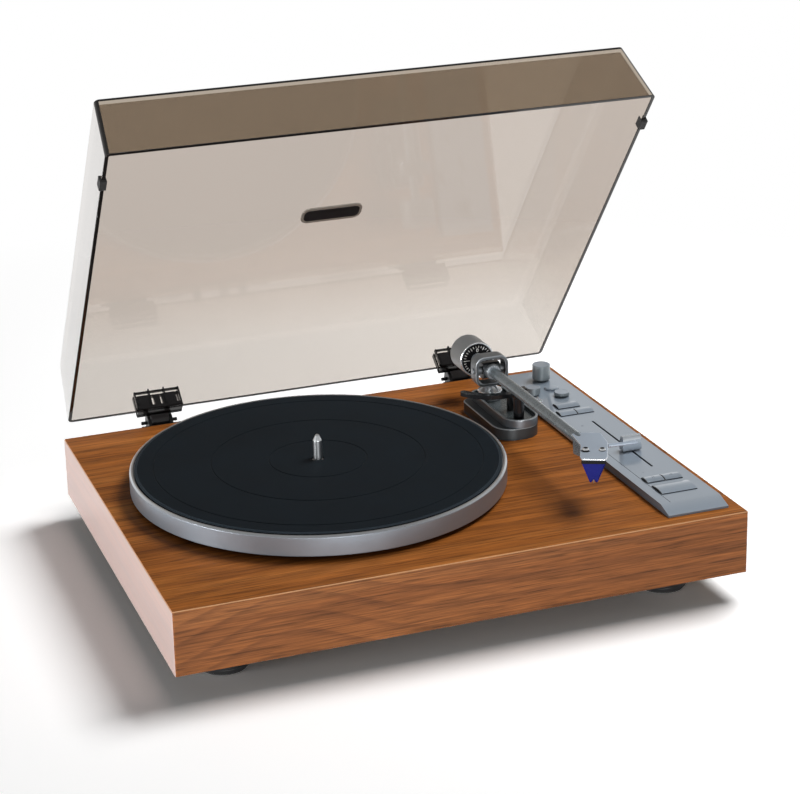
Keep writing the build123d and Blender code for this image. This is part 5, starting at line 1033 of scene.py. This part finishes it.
def floor_material():
    g = Graph(bpy.data.materials.new("floor_paper"))
    rays = g.add("LightPath")
    seen = g.math("MAXIMUM", rays.outputs["Is Camera Ray"],
                  g.math("MAXIMUM", rays.outputs["Is Glossy Ray"], rays.outputs["Is Transmission Ray"]))
    shade = g.ramp(g.noise(g.place(), 6.0, 3.0, 0.6), ((0.3, 0.995), (0.7, 1.0)))
    level = g.remap(seen, 0.0, 1.0, floor_bounce, floor_seen)
    tint = g.add("CombineXYZ", {0: level, 1: level, 2: level}).outputs[0]
    paper = g.add("BsdfDiffuse", {"Color": g.mix(1.0, shade, tint, "MULTIPLY")}).outputs[0]
    distance = g.add("VectorMath", {0: g.coords}, operation="LENGTH").outputs["Value"]
    far = g.remap(distance, *paper_fade, 0.0, 1.0)
    backdrop = g.add("Emission", {"Color": (1, 1, 1, 1), "Strength": 1.0}).outputs[0]
    return g.finish(g.add("MixShader", {0: g.math("MULTIPLY", far, seen), 1: paper, 2: backdrop}).outputs[0])


floor_mesh = bpy.data.meshes.new("floor")
floor_mesh.from_pydata([(x * floor_half, y * floor_half, floor_level)
                        for x, y in ((-1, -1), (1, -1), (1, 1), (-1, 1))], [], [(0, 1, 2, 3)])
floor = bpy.data.objects.new("floor", floor_mesh)
floor_mesh.materials.append(floor_material())
bpy.context.scene.collection.objects.link(floor)

world = bpy.data.worlds.new("studio")
bpy.context.scene.world = world
sky = Graph(world)
rays = sky.add("LightPath").outputs
seen = sky.math("MAXIMUM", rays["Is Camera Ray"], rays["Is Transmission Ray"])
height = sky.add("SeparateXYZ", {0: sky.add("TexCoord").outputs["Generated"]}).outputs[2]
glow = sky.ramp(height, ((0.0, 1.0), (0.12, 0.92), (0.35, 0.62), (0.7, 0.32), (1.0, 0.28)))
mirrored = sky.mix(rays["Is Glossy Ray"], (ambient, ambient, ambient), glow)
level = sky.mix(seen, mirrored, (1.0, 1.0, 1.0))
sky.finish(sky.add("Background", {"Color": level}).outputs[0], "OutputWorld")


def lamp(name, place, aim, size, power, tall=None):
    light = bpy.data.lights.new(name, "AREA")
    light.shape = "RECTANGLE"
    light.size = size
    light.size_y = tall or size
    light.energy = power
    thing = bpy.data.objects.new(name, light)
    thing.location = place
    thing.rotation_euler = (Vector(aim) - Vector(place)).to_track_quat("-Z", "Y").to_euler()
    bpy.context.scene.collection.objects.link(thing)
    return thing


overhead = lamp("overhead", (1.50, 0.40, 2.20), (0.08, -0.05, -0.05), 1.25, 65.0)
overhead.visible_glossy = False
lamp("left_wash", (-2.4, -0.25, -0.005), (0.0, 0.0, -0.03), 0.9, 50.0, 0.15)
lamp("front_fill", (-0.3, -2.9, 0.0), (0.05, 0.0, -0.02), 1.6, 51.0, 0.16)

camera_data = bpy.data.cameras.new("camera")
camera_data.lens = camera_lens
camera_data.sensor_width = 36.0
camera_data.sensor_fit = "HORIZONTAL"
camera_data.shift_x = camera_shift_x
camera_data.shift_y = camera_shift_y
camera_data.clip_end = 100.0
camera = bpy.data.objects.new("camera", camera_data)
level_way = Vector((math.sin(camera_yaw), math.cos(camera_yaw), 0))
forward = level_way * math.cos(camera_pitch) + Vector((0, 0, math.sin(camera_pitch)))
level_right = Vector((math.cos(camera_yaw), -math.sin(camera_yaw), 0))
level_up = level_right.cross(forward)
right = level_right * math.cos(camera_roll) + level_up * math.sin(camera_roll)
up = level_up * math.cos(camera_roll) - level_right * math.sin(camera_roll)
camera.matrix_world = Matrix.Translation(camera_place) @ Matrix((right, up, -forward)).transposed().to_4x4()
bpy.context.scene.collection.objects.link(camera)
bpy.context.scene.camera = camera
bpy.context.scene.view_settings.view_transform = "Standard"
